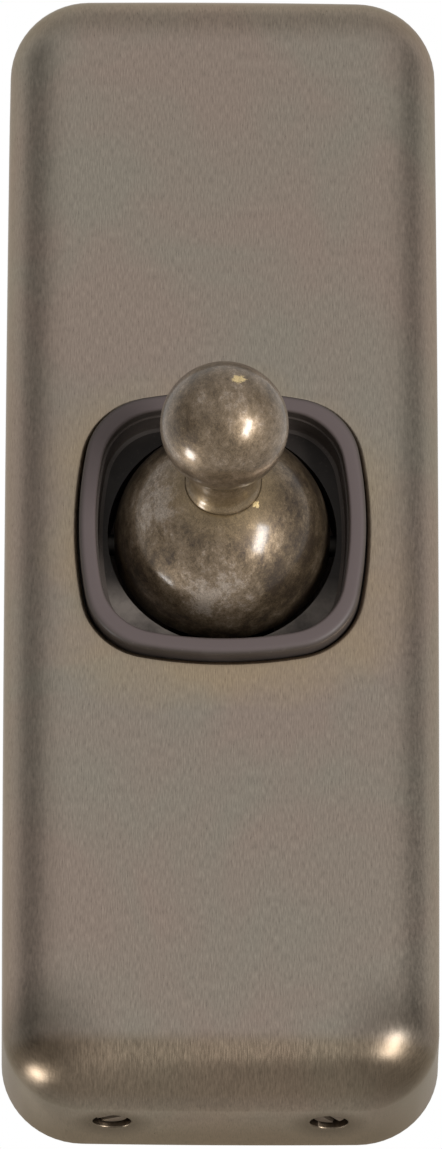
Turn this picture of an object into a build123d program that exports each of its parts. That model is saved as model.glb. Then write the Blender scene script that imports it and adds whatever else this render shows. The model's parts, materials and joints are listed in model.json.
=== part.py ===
"""A narrow metal-covered toggle switch for a wall, in millimetres.

X is across the switch, Z is up, and the wall is the plane Y = 0 with the room on the -Y side.
The origin is on the wall behind the middle of the cover. The knob stands in its upper position.
"""
import os
from math import asin, cos, radians, sin, sqrt

from build123d import *

# Cover, a hollow brass casting
COVER_HALF_WIDTH = 15.0
COVER_HALF_HEIGHT = 40.6
COVER_DEPTH = 12.0
COVER_WALL = 1.3
COVER_FRONT_WALL = 1.4
COVER_CORNER = 5.6
COVER_EDGE = 4.5
COVER_BOW = 0.15
COVER_DRAFT = 0.8
OPENING_EDGE = 0.3
HOOK_HALF_WIDTH = 9.0
HOOK_BACK = -2.3
HOOK_FRONT = -3.3
HOOK_REACH = 0.9

# Bezel, the moulded surround of the dolly
BEZEL_HALF_WIDTH = 9.8
BEZEL_HALF_HEIGHT = 9.6
BEZEL_BOW = 1.25
BEZEL_CORNER = 4.8
BEZEL_RISE = 1.2
BEZEL_GAP = 0.12
BEZEL_LIP = 1.15
BEZEL_SKIRT = 0.55
BEZEL_EDGE = 0.3
WELL_DEPTH = 2.85
WELL_STEP = 0.12
WELL_STEP_DEPTH = 1.0
FLANGE_HALF_WIDTH = 10.4
FLANGE_HALF_HEIGHT = 11.3

# Dolly, which turns on a pin behind the floor of the well
DOLLY_TILT = 11.0
PIVOT_BEHIND_FLOOR = 1.95
DOME_OFFSET = 1.32
DOME_RADIUS = 7.4
DOME_SKIRT = 1.5
DOME_WALL = 0.9
BALL_RADIUS = 4.35
BALL_REACH = 14.2
NECK_RADIUS = 2.26
NECK_HEIGHT = 1.7
COLLAR_RADIUS = 2.55
COLLAR_HEIGHT = 0.45
SEAT_GAP = 0.06
SEAT_DEPTH = 0.25
STUD_RADIUS = 1.3
STUD_END = 2.7
HUB_RADIUS = 3.0
HUB_REACH = 2.2
PIN_RADIUS = 0.75
FLOOR_HOLE = 7.85
STEM_RADIUS = 2.2
STEM_REACH = 8.0
PLUNGER_RADIUS = 1.15
TIP_REACH = 10.0
BORE_END = 1.6
SPRING_LENGTH = 3.5
SPRING_WIRE = 0.14
SPRING_COILS = 5

# Rocker, which the plunger tips on its fulcrum
ROCKER_TILT = 8.0
ROCKER_WEB = 0.5
ROCKER_HALF_WIDTH = 2.2
ROCKER_ARM = 9.4
ROCKER_HALF_THICK = 0.4
CHEEK_HALF_HEIGHT = 4.2
CHEEK_RISE = 2.2
NOTCH_SLOPE = 1.2
CONTACT_RADIUS = 1.3
CONTACT_PLACE = 7.8
CONTACT_RISE = 1.1
CONTACT_THICK = 1.1
CONTACT_GAP = 0.03
TIP_CLEARANCE = 0.1

# Mechanism housing, in three mouldings
HOUSING_HALF_WIDTH = 10.2
HOUSING_HALF_HEIGHT = 17.0
CAP_FRONT = -9.2
CAP_BACK = -6.0
HOUSING_BACK = 17.0
BACK_PLATE = 1.6
CHAMBER_HALF_WIDTH = 3.6
CHAMBER_HALF_HEIGHT = 9.8
POCKET_SIDE = 8.1
POCKET_END = 15.6
DIVIDER = 1.1
BARREL_INNER = 8.9
EAR_REACH = 23.4
EAR_HALF_WIDTH = 4.2
EAR_FRONT = -9.0
EAR_BACK = -7.0
EAR_CORNER = 1.2
PIN_INSET = 0.2

# Terminals
WIRE_X = 4.6
WIRE_Z = 12.2
WIRE_RADIUS = 1.8
WIRE_DEPTH = 8.0
CLAMP_Y = 12.5
CLAMP_RADIUS = 1.5
CLAMP_HEAD_RADIUS = 2.5
TONGUE_FRONT = 6.0
TONGUE_THICK = 0.8
TONGUE_REACH = 2.2
TONGUE_INNER = 5.9
BARREL_OUTER = 15.5
BARREL_STEP = 1.2
STRAP_FRONT = 8.3
STRAP_THICK = 0.9
POST_HALF_WIDTH = 2.0
POST_HALF_HEIGHT = 1.2
KNIFE_HEIGHT = 1.8

# Mounting base and fasteners
BASE_GAP = 0.3
BASE_PLATE = 2.6
BASE_RIM_DEPTH = 7.6
BASE_RIM_WALL = 1.4
WALL_HOLE_Z = 29.0
WALL_HOLE_RADIUS = 2.2
WALL_RECESS_RADIUS = 4.2
WALL_RECESS_DEPTH = 0.7
# Two windows in the plate let the cable in from the wall box, one beside each wall hole.
ENTRY_X = 5.2
ENTRY_WIDTH = 5.8
ENTRY_Z = 22.4
ENTRY_HEIGHT = 8.6
FIXING_Z = 20.6
FIXING_RADIUS = 1.25
FIXING_HEAD_RADIUS = 2.4
FIXING_HEAD_HEIGHT = 1.2
FIXING_LENGTH = 5.0
PILLAR_RADIUS = 3.2
COVER_SCREW_X = 7.35
COVER_SCREW_Y = -5.3
COVER_SCREW_RADIUS = 1.2
COVER_SCREW_LENGTH = 5.4
COVER_SCREW_INSET = 0.45
INSERT_RADIUS = 2.0
INSERT_LENGTH = 5.0
BOSS_HALF_WIDTH = 3.0
BOSS_LENGTH = 7.0
BOSS_DEPTH = 8.2
RIVET_X = 9.15
RIVET_Z = 7.0
RIVET_RADIUS = 0.6
RIVET_HEAD_RADIUS = 1.0
RIVET_HEAD_DEPTH = 0.5
EARTH_X = -8.3
EARTH_Z = 26.0
EARTH_HALF_WIDTH = 2.0
EARTH_THICK = 0.6

# Worked out from the sizes above
COVER_INSIDE = -(COVER_DEPTH - COVER_FRONT_WALL)
BEZEL_FRONT = -(COVER_DEPTH + BEZEL_RISE)
FLOOR_Y = BEZEL_FRONT + WELL_DEPTH
PIVOT_Y = FLOOR_Y + PIVOT_BEHIND_FLOOR
ROCKER_REACH = TIP_REACH + PLUNGER_RADIUS + TIP_CLEARANCE + ROCKER_WEB
ROCKER_Y = PIVOT_Y + ROCKER_REACH
BASE_HALF_WIDTH = COVER_HALF_WIDTH - COVER_WALL - BASE_GAP
BASE_HALF_HEIGHT = COVER_HALF_HEIGHT - COVER_WALL - BASE_GAP
TONGUE_BACK = TONGUE_FRONT + TONGUE_THICK


def block(x_low, x_high, y_low, y_high, z_low, z_high):
    """A plain box between two corners."""
    size = (x_high - x_low, y_high - y_low, z_high - z_low)
    middle = ((x_low + x_high) / 2, (y_low + y_high) / 2, (z_low + z_high) / 2)
    return Pos(*middle) * Box(*size)


def corner_block(side_x, side_z, x_near, x_far, y_low, y_high, z_near, z_far):
    """A plain box in one quarter, given by its distances from the middle lines."""
    x_low, x_high = sorted((side_x * x_near, side_x * x_far))
    z_low, z_high = sorted((side_z * z_near, side_z * z_far))
    return block(x_low, x_high, y_low, y_high, z_low, z_high)


def rod_y(x, z, radius, front, back):
    """A round bar along Y."""
    return Pos(x, (front + back) / 2, z) * Rot(90, 0, 0) * Cylinder(radius, back - front)


def rod_z(x, y, radius, start, end):
    """A round bar along Z."""
    return Pos(x, y, (start + end) / 2) * Cylinder(radius, abs(end - start))


def rod_x(y, z, radius, half_length):
    """A round bar along X, centred on the middle of the switch."""
    return Pos(0, y, z) * Rot(0, 90, 0) * Cylinder(radius, 2 * half_length)


def bowed_outline(half_width, half_height, bow, corner):
    """A rounded rectangle whose four sides bow outwards."""
    x = half_width - bow
    z = half_height - bow
    sides = [
        ThreePointArc((-x, -z), (0, -half_height), (x, -z)),
        ThreePointArc((x, -z), (half_width, 0), (x, z)),
        ThreePointArc((x, z), (0, half_height), (-x, z)),
        ThreePointArc((-x, z), (-half_width, 0), (-x, -z)),
    ]
    face = make_face(sides)
    return fillet(face.vertices(), corner)


def prism(face, back, front, taper=0.0):
    """An outline drawn in X and Z, carried from its back plane to its front plane."""
    placed = Plane((0, back, 0), x_dir=(1, 0, 0), z_dir=(0, -1, 0)) * face
    return extrude(placed, back - front, taper=taper)


def front_edges(shape):
    """The edges of a shape's foremost face."""
    return shape.faces().sort_by(Axis.Y)[0].edges()


def opening_edges(shape):
    """The edges round the hole in the middle of a shape's foremost face."""
    return shape.faces().sort_by(Axis.Y)[0].inner_wires()[0].edges()


def dolly_frame(shape):
    """Place a piece drawn about the dolly's axis, with the pivot at its origin."""
    tilt = radians(DOLLY_TILT)
    return Plane((0, PIVOT_Y, 0), x_dir=(1, 0, 0), z_dir=(0, -cos(tilt), sin(tilt))) * shape


def turned(*edges):
    """A solid turned about the dolly's axis from an outline of radius and height."""
    return revolve(Plane.XZ * make_face(edges), Axis.Z)


def bezel_outline(inset=0.0):
    """The outline of the bezel, or one that lies evenly inside it."""
    bow = BEZEL_BOW * (1 - inset / BEZEL_HALF_WIDTH)
    return bowed_outline(BEZEL_HALF_WIDTH - inset, BEZEL_HALF_HEIGHT - inset, bow, BEZEL_CORNER - inset / 2)


def front_cover():
    """Hollow cover: soft front edges, a square hole for the bezel, a hook and two screw holes."""
    outline = bowed_outline(COVER_HALF_WIDTH, COVER_HALF_HEIGHT, COVER_BOW, COVER_CORNER)
    shell = prism(outline, 0, -COVER_DEPTH, COVER_DRAFT)
    shell = fillet(front_edges(shell), COVER_EDGE)
    inside = bowed_outline(
        COVER_HALF_WIDTH - COVER_WALL, COVER_HALF_HEIGHT - COVER_WALL, COVER_BOW, COVER_CORNER - COVER_WALL
    )
    cavity = prism(inside, 0, COVER_INSIDE, COVER_DRAFT)
    cavity = fillet(front_edges(cavity), COVER_EDGE - COVER_WALL)
    shell -= cavity
    shell -= prism(bezel_outline(-BEZEL_GAP), COVER_INSIDE + 1, -COVER_DEPTH - 1)
    shell = fillet(opening_edges(shell), OPENING_EDGE)
    shell += block(
        -HOOK_HALF_WIDTH, HOOK_HALF_WIDTH, HOOK_FRONT, HOOK_BACK, BASE_HALF_HEIGHT - HOOK_REACH,
        COVER_HALF_HEIGHT - COVER_WALL / 2,
    )
    for x in (-COVER_SCREW_X, COVER_SCREW_X):
        radius = COVER_SCREW_RADIUS + 0.1
        shell -= rod_z(x, COVER_SCREW_Y, radius, -COVER_HALF_HEIGHT - 1, BASE_GAP / 2 - BASE_HALF_HEIGHT)
    return shell


def bezel():
    """Moulded surround with a lip, a stepped well and a flange behind the cover."""
    ring = prism(bezel_outline(), CAP_FRONT, BEZEL_FRONT)
    ring = fillet(front_edges(ring), BEZEL_EDGE)
    flange_outline = bowed_outline(FLANGE_HALF_WIDTH, FLANGE_HALF_HEIGHT, BEZEL_BOW, BEZEL_CORNER)
    flange = prism(flange_outline, CAP_FRONT, COVER_INSIDE)
    well = prism(bezel_outline(BEZEL_LIP), BEZEL_FRONT + WELL_STEP_DEPTH, BEZEL_FRONT - 1)
    deep_well = prism(bezel_outline(BEZEL_LIP + WELL_STEP), FLOOR_Y + 0.5, BEZEL_FRONT)
    recess = prism(bezel_outline(BEZEL_SKIRT), CAP_FRONT + 1, FLOOR_Y)
    body = ring + flange - well - deep_well - recess
    return fillet(opening_edges(body), BEZEL_EDGE / 2)


def pin_hole():
    """The hole for the pivot pin through the housing."""
    return rod_x(PIVOT_Y, 0, PIN_RADIUS, HOUSING_HALF_WIDTH - PIN_INSET)


def rivet_holes():
    """Four holes through the corners of the three housing mouldings."""
    holes = [
        rod_y(x, z, RIVET_RADIUS, CAP_FRONT - 1, HOUSING_BACK + BACK_PLATE + 1)
        + rod_y(x, z, RIVET_HEAD_RADIUS, CAP_FRONT - 1, CAP_FRONT + RIVET_HEAD_DEPTH)
        for x in (-RIVET_X, RIVET_X)
        for z in (-RIVET_Z, RIVET_Z)
    ]
    return Part() + holes


def housing_front():
    """Front moulding: the floor of the well, the pin's bearings and two fixing ears."""
    width = HOUSING_HALF_WIDTH
    height = HOUSING_HALF_HEIGHT
    body = block(-width, width, CAP_FRONT, CAP_BACK, -height, height)
    ears = block(-EAR_HALF_WIDTH, EAR_HALF_WIDTH, EAR_FRONT, EAR_BACK, -EAR_REACH, EAR_REACH)
    body += fillet(ears.edges().filter_by(Axis.Y), EAR_CORNER)
    body += prism(bezel_outline(BEZEL_SKIRT + 0.05), CAP_FRONT, FLOOR_Y)
    body -= rod_y(0, 0, FLOOR_HOLE, FLOOR_Y - 1, CAP_BACK + 1)
    for z in (-FIXING_Z, FIXING_Z):
        body -= rod_y(0, z, FIXING_RADIUS + 0.35, EAR_FRONT - 1, EAR_BACK + 1)
    return body - pin_hole() - rivet_holes()


def barrel_front(side_x):
    """The front of a terminal barrel: those with contacts stand further forward."""
    return TONGUE_FRONT if side_x > 0 else TONGUE_FRONT + BARREL_STEP


def housing_body():
    """Middle moulding: a chamber for the rocker and pockets for the terminals."""
    width = HOUSING_HALF_WIDTH
    height = HOUSING_HALF_HEIGHT
    rear = HOUSING_BACK + 1
    body = block(-width, width, CAP_BACK, HOUSING_BACK, -height, height)
    half = CHAMBER_HALF_WIDTH
    body -= block(-half, half, CAP_BACK - 1, TONGUE_FRONT, -CHAMBER_HALF_HEIGHT, CHAMBER_HALF_HEIGHT)
    body -= block(-POCKET_SIDE, POCKET_SIDE, STRAP_FRONT - 0.2, rear, -BARREL_INNER, BARREL_INNER)
    post = POST_HALF_WIDTH + 0.1
    body -= block(-post, post, TONGUE_FRONT - 1, STRAP_FRONT, -POST_HALF_HEIGHT - 0.2, POST_HALF_HEIGHT + 0.2)
    for side_z in (-1, 1):
        body -= corner_block(
            1, side_z, -TONGUE_REACH - 0.2, POCKET_SIDE, TONGUE_FRONT - 0.1, STRAP_FRONT, TONGUE_INNER - 0.1,
            BARREL_INNER,
        )
        for side_x in (-1, 1):
            front = barrel_front(side_x) - 0.1
            body -= corner_block(
                side_x, side_z, DIVIDER, POCKET_SIDE, front, rear, BARREL_INNER - 0.1, POCKET_END
            )
            body -= rod_z(
                side_x * WIRE_X, CLAMP_Y, CLAMP_HEAD_RADIUS + 0.3,
                side_z * (POCKET_END - 0.5), side_z * (height + 1),
            )
    return body - rivet_holes()


def housing_back():
    """Rear moulding: the wire holes, and a block that keeps the terminals in their pockets."""
    width = HOUSING_HALF_WIDTH
    height = HOUSING_HALF_HEIGHT
    rear = HOUSING_BACK + BACK_PLATE
    body = block(-width, width, HOUSING_BACK, rear, -height, height)
    body = fillet(body.edges().filter_by(Axis.Y), 1.0)
    side = POCKET_SIDE - 0.1
    height = BARREL_INNER - 0.3
    body += block(-side, side, STRAP_FRONT + STRAP_THICK + 0.1, HOUSING_BACK, -height, height)
    for x in (-WIRE_X, WIRE_X):
        for z in (-WIRE_Z, WIRE_Z):
            body -= rod_y(x, z, WIRE_RADIUS + 0.4, HOUSING_BACK - 1, rear + 1)
    return body - rivet_holes()


def housing_rivets():
    """Four rivets that hold the housing mouldings together."""
    rear = HOUSING_BACK + BACK_PLATE
    rivets = []
    for x in (-RIVET_X, RIVET_X):
        for z in (-RIVET_Z, RIVET_Z):
            shank = rod_y(x, z, RIVET_RADIUS, CAP_FRONT + 0.05, rear + RIVET_HEAD_DEPTH)
            front_head = rod_y(x, z, RIVET_HEAD_RADIUS, CAP_FRONT + 0.05, CAP_FRONT + RIVET_HEAD_DEPTH)
            rear_head = rod_y(x, z, RIVET_HEAD_RADIUS, rear, rear + RIVET_HEAD_DEPTH)
            rivets.append(shank + front_head + rear_head)
    return Compound(children=rivets)


def mounting_base():
    """Moulded base under the cover: a plate and rim, a window, cable entries, pillars and screw bosses."""
    corner = COVER_CORNER - COVER_WALL - BASE_GAP
    outline = bowed_outline(BASE_HALF_WIDTH, BASE_HALF_HEIGHT, COVER_BOW, corner)
    inner = bowed_outline(
        BASE_HALF_WIDTH - BASE_RIM_WALL, BASE_HALF_HEIGHT - BASE_RIM_WALL, COVER_BOW, corner - BASE_RIM_WALL
    )
    body = prism(outline, 0, -BASE_RIM_DEPTH, COVER_DRAFT)
    body -= prism(inner, -BASE_PLATE, -BASE_RIM_DEPTH - 1)
    for z in (-FIXING_Z, FIXING_Z):
        body += rod_y(0, z, PILLAR_RADIUS, EAR_BACK, -BASE_PLATE)
        body -= rod_y(0, z, FIXING_RADIUS + 0.05, EAR_BACK - 1, -1.0)
    gap = 0.2
    width = HOUSING_HALF_WIDTH + gap
    height = HOUSING_HALF_HEIGHT + gap
    body -= block(-width, width, -BASE_PLATE - 1, 1, -height, height)
    for z in (-WALL_HOLE_Z, WALL_HOLE_Z):
        body -= rod_y(0, z, WALL_HOLE_RADIUS, -BASE_PLATE - 1, 1)
        body -= rod_y(0, z, WALL_RECESS_RADIUS, -BASE_PLATE - 1, WALL_RECESS_DEPTH - BASE_PLATE)
    for low in (ENTRY_Z, -ENTRY_Z - ENTRY_HEIGHT):
        body -= block(ENTRY_X, ENTRY_X + ENTRY_WIDTH, -BASE_PLATE - 1, 1, low, low + ENTRY_HEIGHT)
    for x in (-COVER_SCREW_X, COVER_SCREW_X):
        body += block(
            x - BOSS_HALF_WIDTH, x + BOSS_HALF_WIDTH, -BOSS_DEPTH, -BASE_PLATE,
            1 - BASE_HALF_HEIGHT, BOSS_LENGTH - BASE_HALF_HEIGHT,
        )
        body -= rod_z(x, COVER_SCREW_Y, INSERT_RADIUS, -BASE_HALF_HEIGHT - 1, INSERT_LENGTH - BASE_HALF_HEIGHT)
    width = HOOK_HALF_WIDTH + 0.4
    body -= block(
        -width, width, HOOK_FRONT - 0.2, HOOK_BACK + 0.2,
        BASE_HALF_HEIGHT - HOOK_REACH - 0.3, BASE_HALF_HEIGHT + 1,
    )
    body -= rod_y(EARTH_X, EARTH_Z, FIXING_RADIUS, -BASE_PLATE - 1, -0.6)
    return body


def screw_inserts():
    """Two threaded brass bushes moulded into the bottom bosses."""
    low = -BASE_HALF_HEIGHT + 0.05
    high = INSERT_LENGTH - BASE_HALF_HEIGHT
    bushes = [
        rod_z(x, COVER_SCREW_Y, INSERT_RADIUS, low, high)
        - rod_z(x, COVER_SCREW_Y, COVER_SCREW_RADIUS + 0.05, low - 1, high + 1)
        for x in (-COVER_SCREW_X, COVER_SCREW_X)
    ]
    return Compound(children=bushes)


def slot_cut(width, depth):
    """The driver slot at the top of a screw that stands along Z from the origin."""
    return Pos(0, 0, -depth / 2) * Box(20, width, depth + 0.001)


def cover_screws():
    """Two headless slotted screws that lock the cover's bottom edge to the base."""
    shank = Pos(0, 0, -COVER_SCREW_LENGTH / 2) * Cylinder(COVER_SCREW_RADIUS, COVER_SCREW_LENGTH)
    shank = chamfer(shank.edges().sort_by(Axis.Z)[0], 0.3 * COVER_SCREW_RADIUS)
    screw = shank - slot_cut(0.5, 0.8)
    seat = COVER_SCREW_INSET - COVER_HALF_HEIGHT
    screws = [Pos(x, COVER_SCREW_Y, seat) * Rot(180, 0, 0) * screw for x in (-COVER_SCREW_X, COVER_SCREW_X)]
    return Compound(children=screws)


def headed_screw(head_radius, head_height, shank_radius, length):
    """A slotted pan-head screw along Z, its head standing on the origin and its shank below."""
    head = Pos(0, 0, head_height / 2) * Cylinder(head_radius, head_height)
    head = fillet(head.edges().sort_by(Axis.Z)[-1], head_height * 0.4)
    shank = Pos(0, 0, -length / 2) * Cylinder(shank_radius, length)
    shank = chamfer(shank.edges().sort_by(Axis.Z)[0], shank_radius * 0.3)
    return head + shank - Pos(0, 0, head_height) * slot_cut(0.6, head_height * 0.55)


def facing_front(x, y, z):
    """The placing of a screw whose head faces the room."""
    return Plane((x, y, z), x_dir=(1, 0, 0), z_dir=(0, -1, 0))


def mechanism_screws():
    """Two screws that hold the mechanism's ears to the base's pillars."""
    screw = headed_screw(FIXING_HEAD_RADIUS, FIXING_HEAD_HEIGHT, FIXING_RADIUS, FIXING_LENGTH)
    return Compound(children=[facing_front(0, EAR_FRONT, z) * screw for z in (-FIXING_Z, FIXING_Z)])


def pivot_pin():
    """Steel pin that the dolly turns on."""
    return chamfer(pin_hole().edges().filter_by(GeomType.CIRCLE), 0.1)


def dolly_dome():
    """Brass dome, a hollow half ball with a short skirt and a seat for the knob."""
    seat_radius = COLLAR_RADIUS + SEAT_GAP
    seat = DOME_OFFSET + sqrt(DOME_RADIUS**2 - seat_radius**2)
    inner_radius = DOME_RADIUS - DOME_WALL
    inner_top = DOME_OFFSET + sqrt(inner_radius**2 - STUD_RADIUS**2)
    skirt_end = DOME_OFFSET - DOME_SKIRT
    rise = sin(radians(50))
    across = cos(radians(50))
    shell = turned(
        Line((DOME_RADIUS, skirt_end), (DOME_RADIUS, DOME_OFFSET)),
        ThreePointArc(
            (DOME_RADIUS, DOME_OFFSET),
            (DOME_RADIUS * across, DOME_OFFSET + DOME_RADIUS * rise),
            (seat_radius, seat),
        ),
        Line((seat_radius, seat), (seat_radius, seat - SEAT_DEPTH)),
        Line((seat_radius, seat - SEAT_DEPTH), (STUD_RADIUS, seat - SEAT_DEPTH)),
        Line((STUD_RADIUS, seat - SEAT_DEPTH), (STUD_RADIUS, inner_top)),
        ThreePointArc(
            (STUD_RADIUS, inner_top),
            (inner_radius * across, DOME_OFFSET + inner_radius * rise),
            (inner_radius, DOME_OFFSET),
        ),
        Line((inner_radius, DOME_OFFSET), (inner_radius, skirt_end)),
        Line((inner_radius, skirt_end), (DOME_RADIUS, skirt_end)),
    )
    return dolly_frame(shell - Rot(0, 90, 0) * Cylinder(PIN_RADIUS + 0.1, 2 * DOME_RADIUS + 1))


def dolly_knob():
    """Turned brass knob: a ball on a waisted neck, with a stud that screws into the core."""
    ball = DOME_OFFSET + BALL_REACH
    base = DOME_OFFSET + sqrt(DOME_RADIUS**2 - (COLLAR_RADIUS + SEAT_GAP) ** 2) - SEAT_DEPTH
    join = asin((NECK_RADIUS + 0.3) / BALL_RADIUS)
    join_point = (BALL_RADIUS * sin(join), ball - BALL_RADIUS * cos(join))
    collar_top = (COLLAR_RADIUS, base + COLLAR_HEIGHT)
    stud_end = STUD_END + 0.2
    knob = turned(
        Line((0, stud_end), (STUD_RADIUS - 0.05, stud_end)),
        Line((STUD_RADIUS - 0.05, stud_end), (STUD_RADIUS - 0.05, base)),
        Line((STUD_RADIUS - 0.05, base), (COLLAR_RADIUS, base)),
        Line((COLLAR_RADIUS, base), collar_top),
        Spline(collar_top, (NECK_RADIUS, base + NECK_HEIGHT), join_point, tangents=[(-0.6, 1), (0.75, 1)]),
        ThreePointArc(join_point, (BALL_RADIUS, ball), (0, ball + BALL_RADIUS)),
        Line((0, ball + BALL_RADIUS), (0, stud_end)),
    )
    return dolly_frame(knob)


def dolly_core():
    """Moulded core that fills the dome, turns on the pin and carries the plunger."""
    radius = DOME_RADIUS - DOME_WALL - 0.05
    skirt_end = DOME_OFFSET - DOME_SKIRT
    filling = Pos(0, 0, DOME_OFFSET) * Sphere(radius)
    filling += Pos(0, 0, (skirt_end + DOME_OFFSET) / 2) * Cylinder(radius, DOME_SKIRT)
    filling -= Pos(0, 0, skirt_end - DOME_RADIUS) * Box(*[2 * DOME_RADIUS] * 3)
    hub = Pos(0, 0, (skirt_end - HUB_REACH) / 2) * Cylinder(HUB_RADIUS, HUB_REACH + skirt_end)
    stem = Pos(0, 0, -STEM_REACH / 2) * Cylinder(STEM_RADIUS, STEM_REACH)
    bore_middle = -(BORE_END + STEM_REACH + 1) / 2
    bore = Pos(0, 0, bore_middle) * Cylinder(PLUNGER_RADIUS + 0.05, STEM_REACH + 1 - BORE_END)
    stud_hole = Pos(0, 0, STUD_END + DOME_RADIUS / 2) * Cylinder(STUD_RADIUS, DOME_RADIUS)
    pin_bore = Rot(0, 90, 0) * Cylinder(PIN_RADIUS + 0.05, 2 * DOME_RADIUS)
    return dolly_frame(filling + hub + stem - bore - stud_hole - pin_bore)


def plunger():
    """Round-ended plunger that slides in the core's stem."""
    top = -(BORE_END + SPRING_LENGTH + 0.1)
    shank = Pos(0, 0, (top - TIP_REACH) / 2) * Cylinder(PLUNGER_RADIUS, TIP_REACH + top)
    return dolly_frame(shank + Pos(0, 0, -TIP_REACH) * Sphere(PLUNGER_RADIUS))


def plunger_spring():
    """Helical spring that presses the plunger against the rocker."""
    radius = PLUNGER_RADIUS - SPRING_WIRE - 0.1
    height = SPRING_LENGTH - 2 * SPRING_WIRE - 0.1
    path = Helix(height / SPRING_COILS, height, radius)
    section = Plane(path @ 0, z_dir=path % 0) * Circle(SPRING_WIRE)
    coil = sweep(section, path)
    return dolly_frame(Pos(0, 0, -(BORE_END + SPRING_LENGTH - SPRING_WIRE)) * coil)


def tip_in_rocker(angle):
    """The middle of the plunger's tip in the rocker's own frame, at an angle of the dolly."""
    turn = radians(angle * ROCKER_TILT / DOLLY_TILT)
    back = TIP_REACH * cos(radians(angle)) - ROCKER_REACH
    up = -TIP_REACH * sin(radians(angle))
    return back * cos(turn) + up * sin(turn), up * cos(turn) - back * sin(turn)


def rocker_frame(shape, angle=ROCKER_TILT):
    """Place a piece drawn about the rocker's fulcrum, at the angle that it has at rest."""
    return Pos(0, ROCKER_Y, 0) * Rot(angle, 0, 0) * shape


def contact_button(z, front, back):
    """A round contact, in the rocker's own frame."""
    return rod_y(0, z, CONTACT_RADIUS, front, back)


def rocker():
    """Brass rocker: a trough for the plunger's tip, two arms and a notch for the fulcrum."""
    middle = tip_in_rocker(0)[0]
    end, reach = tip_in_rocker(DOLLY_TILT)
    sagitta = middle - end
    path_radius = (reach**2 + sagitta**2) / (2 * sagitta)
    half = ROCKER_HALF_WIDTH
    body = block(-half, half, -ROCKER_HALF_THICK, ROCKER_HALF_THICK, -ROCKER_ARM, ROCKER_ARM)
    body += block(-half, half, -CHEEK_RISE, ROCKER_HALF_THICK, -CHEEK_HALF_HEIGHT, CHEEK_HALF_HEIGHT)
    body -= rod_x(middle - path_radius, 0, path_radius + PLUNGER_RADIUS + TIP_CLEARANCE, 5)
    notch = Polyline((0, 0), (1, NOTCH_SLOPE), (1, -NOTCH_SLOPE), close=True)
    body -= extrude(Plane.YZ * make_face(notch), 2 * half, both=True)
    for z in (-CONTACT_PLACE, CONTACT_PLACE):
        body -= contact_button(z, -1, 1)
    return rocker_frame(body)


def moving_contacts():
    """Silver contacts riveted into the ends of the rocker."""
    ends = (-CONTACT_PLACE, CONTACT_PLACE)
    buttons = [rocker_frame(contact_button(z, -ROCKER_HALF_THICK, CONTACT_RISE)) for z in ends]
    return Compound(children=buttons)


def fixed_button(side_z):
    """A fixed contact, square to the moving one when that one is closed."""
    front = CONTACT_RISE + CONTACT_GAP
    button = contact_button(side_z * CONTACT_PLACE, front, front + CONTACT_THICK)
    return rocker_frame(button, -side_z * ROCKER_TILT)


def fixed_contacts():
    """Silver contacts on the two switched terminals."""
    return Compound(children=[fixed_button(side_z) for side_z in (-1, 1)])


def terminal_barrel(side_x, side_z):
    """A brass barrel with a blind wire bore from behind and a clamp screw's hole."""
    barrel = corner_block(
        side_x, side_z, DIVIDER + 0.1, POCKET_SIDE - 0.1, barrel_front(side_x), HOUSING_BACK, BARREL_INNER,
        BARREL_OUTER,
    )
    barrel -= rod_y(side_x * WIRE_X, side_z * WIRE_Z, WIRE_RADIUS, HOUSING_BACK - WIRE_DEPTH, HOUSING_BACK + 1)
    barrel -= rod_z(side_x * WIRE_X, CLAMP_Y, CLAMP_RADIUS + 0.05, side_z * WIRE_Z, side_z * (POCKET_END + 1))
    return barrel


def fixed_terminal(side_z):
    """A switched terminal: a barrel with a tongue that carries a contact."""
    tongue = corner_block(
        1, side_z, -TONGUE_REACH, POCKET_SIDE - 0.1, TONGUE_FRONT, TONGUE_BACK, TONGUE_INNER, BARREL_INNER
    )
    return terminal_barrel(1, side_z) + tongue - fixed_button(side_z)


def common_terminal():
    """The common terminal: a barrel with a strap to the knife edge that the rocker tips on."""
    side = POCKET_SIDE - 0.1
    width = POST_HALF_WIDTH
    height = POST_HALF_HEIGHT
    strap_back = STRAP_FRONT + STRAP_THICK
    strap = block(-side, width, STRAP_FRONT, strap_back, -height, height)
    strap += block(-side, -DIVIDER - 0.1, STRAP_FRONT, strap_back, -height, BARREL_INNER)
    post = block(-width, width, ROCKER_Y + KNIFE_HEIGHT, STRAP_FRONT, -height, height)
    edge = Polyline((CONTACT_GAP, 0), (KNIFE_HEIGHT, 0.85 * height), (KNIFE_HEIGHT, -0.85 * height), close=True)
    knife = Pos(0, ROCKER_Y, 0) * extrude(Plane.YZ * make_face(edge), width, both=True)
    return terminal_barrel(-1, 1) + strap + post + knife


def terminal_screws():
    """Four clamp screws, each drawn back so that its wire bore is open."""
    screw = headed_screw(CLAMP_HEAD_RADIUS, 1.1, CLAMP_RADIUS, POCKET_END - WIRE_Z - WIRE_RADIUS - 0.05)
    screws = []
    for x in (-WIRE_X, WIRE_X):
        screws.append(Pos(x, CLAMP_Y, POCKET_END) * screw)
        screws.append(Pos(x, CLAMP_Y, -POCKET_END) * Rot(180, 0, 0) * screw)
    return Compound(children=screws)


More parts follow.
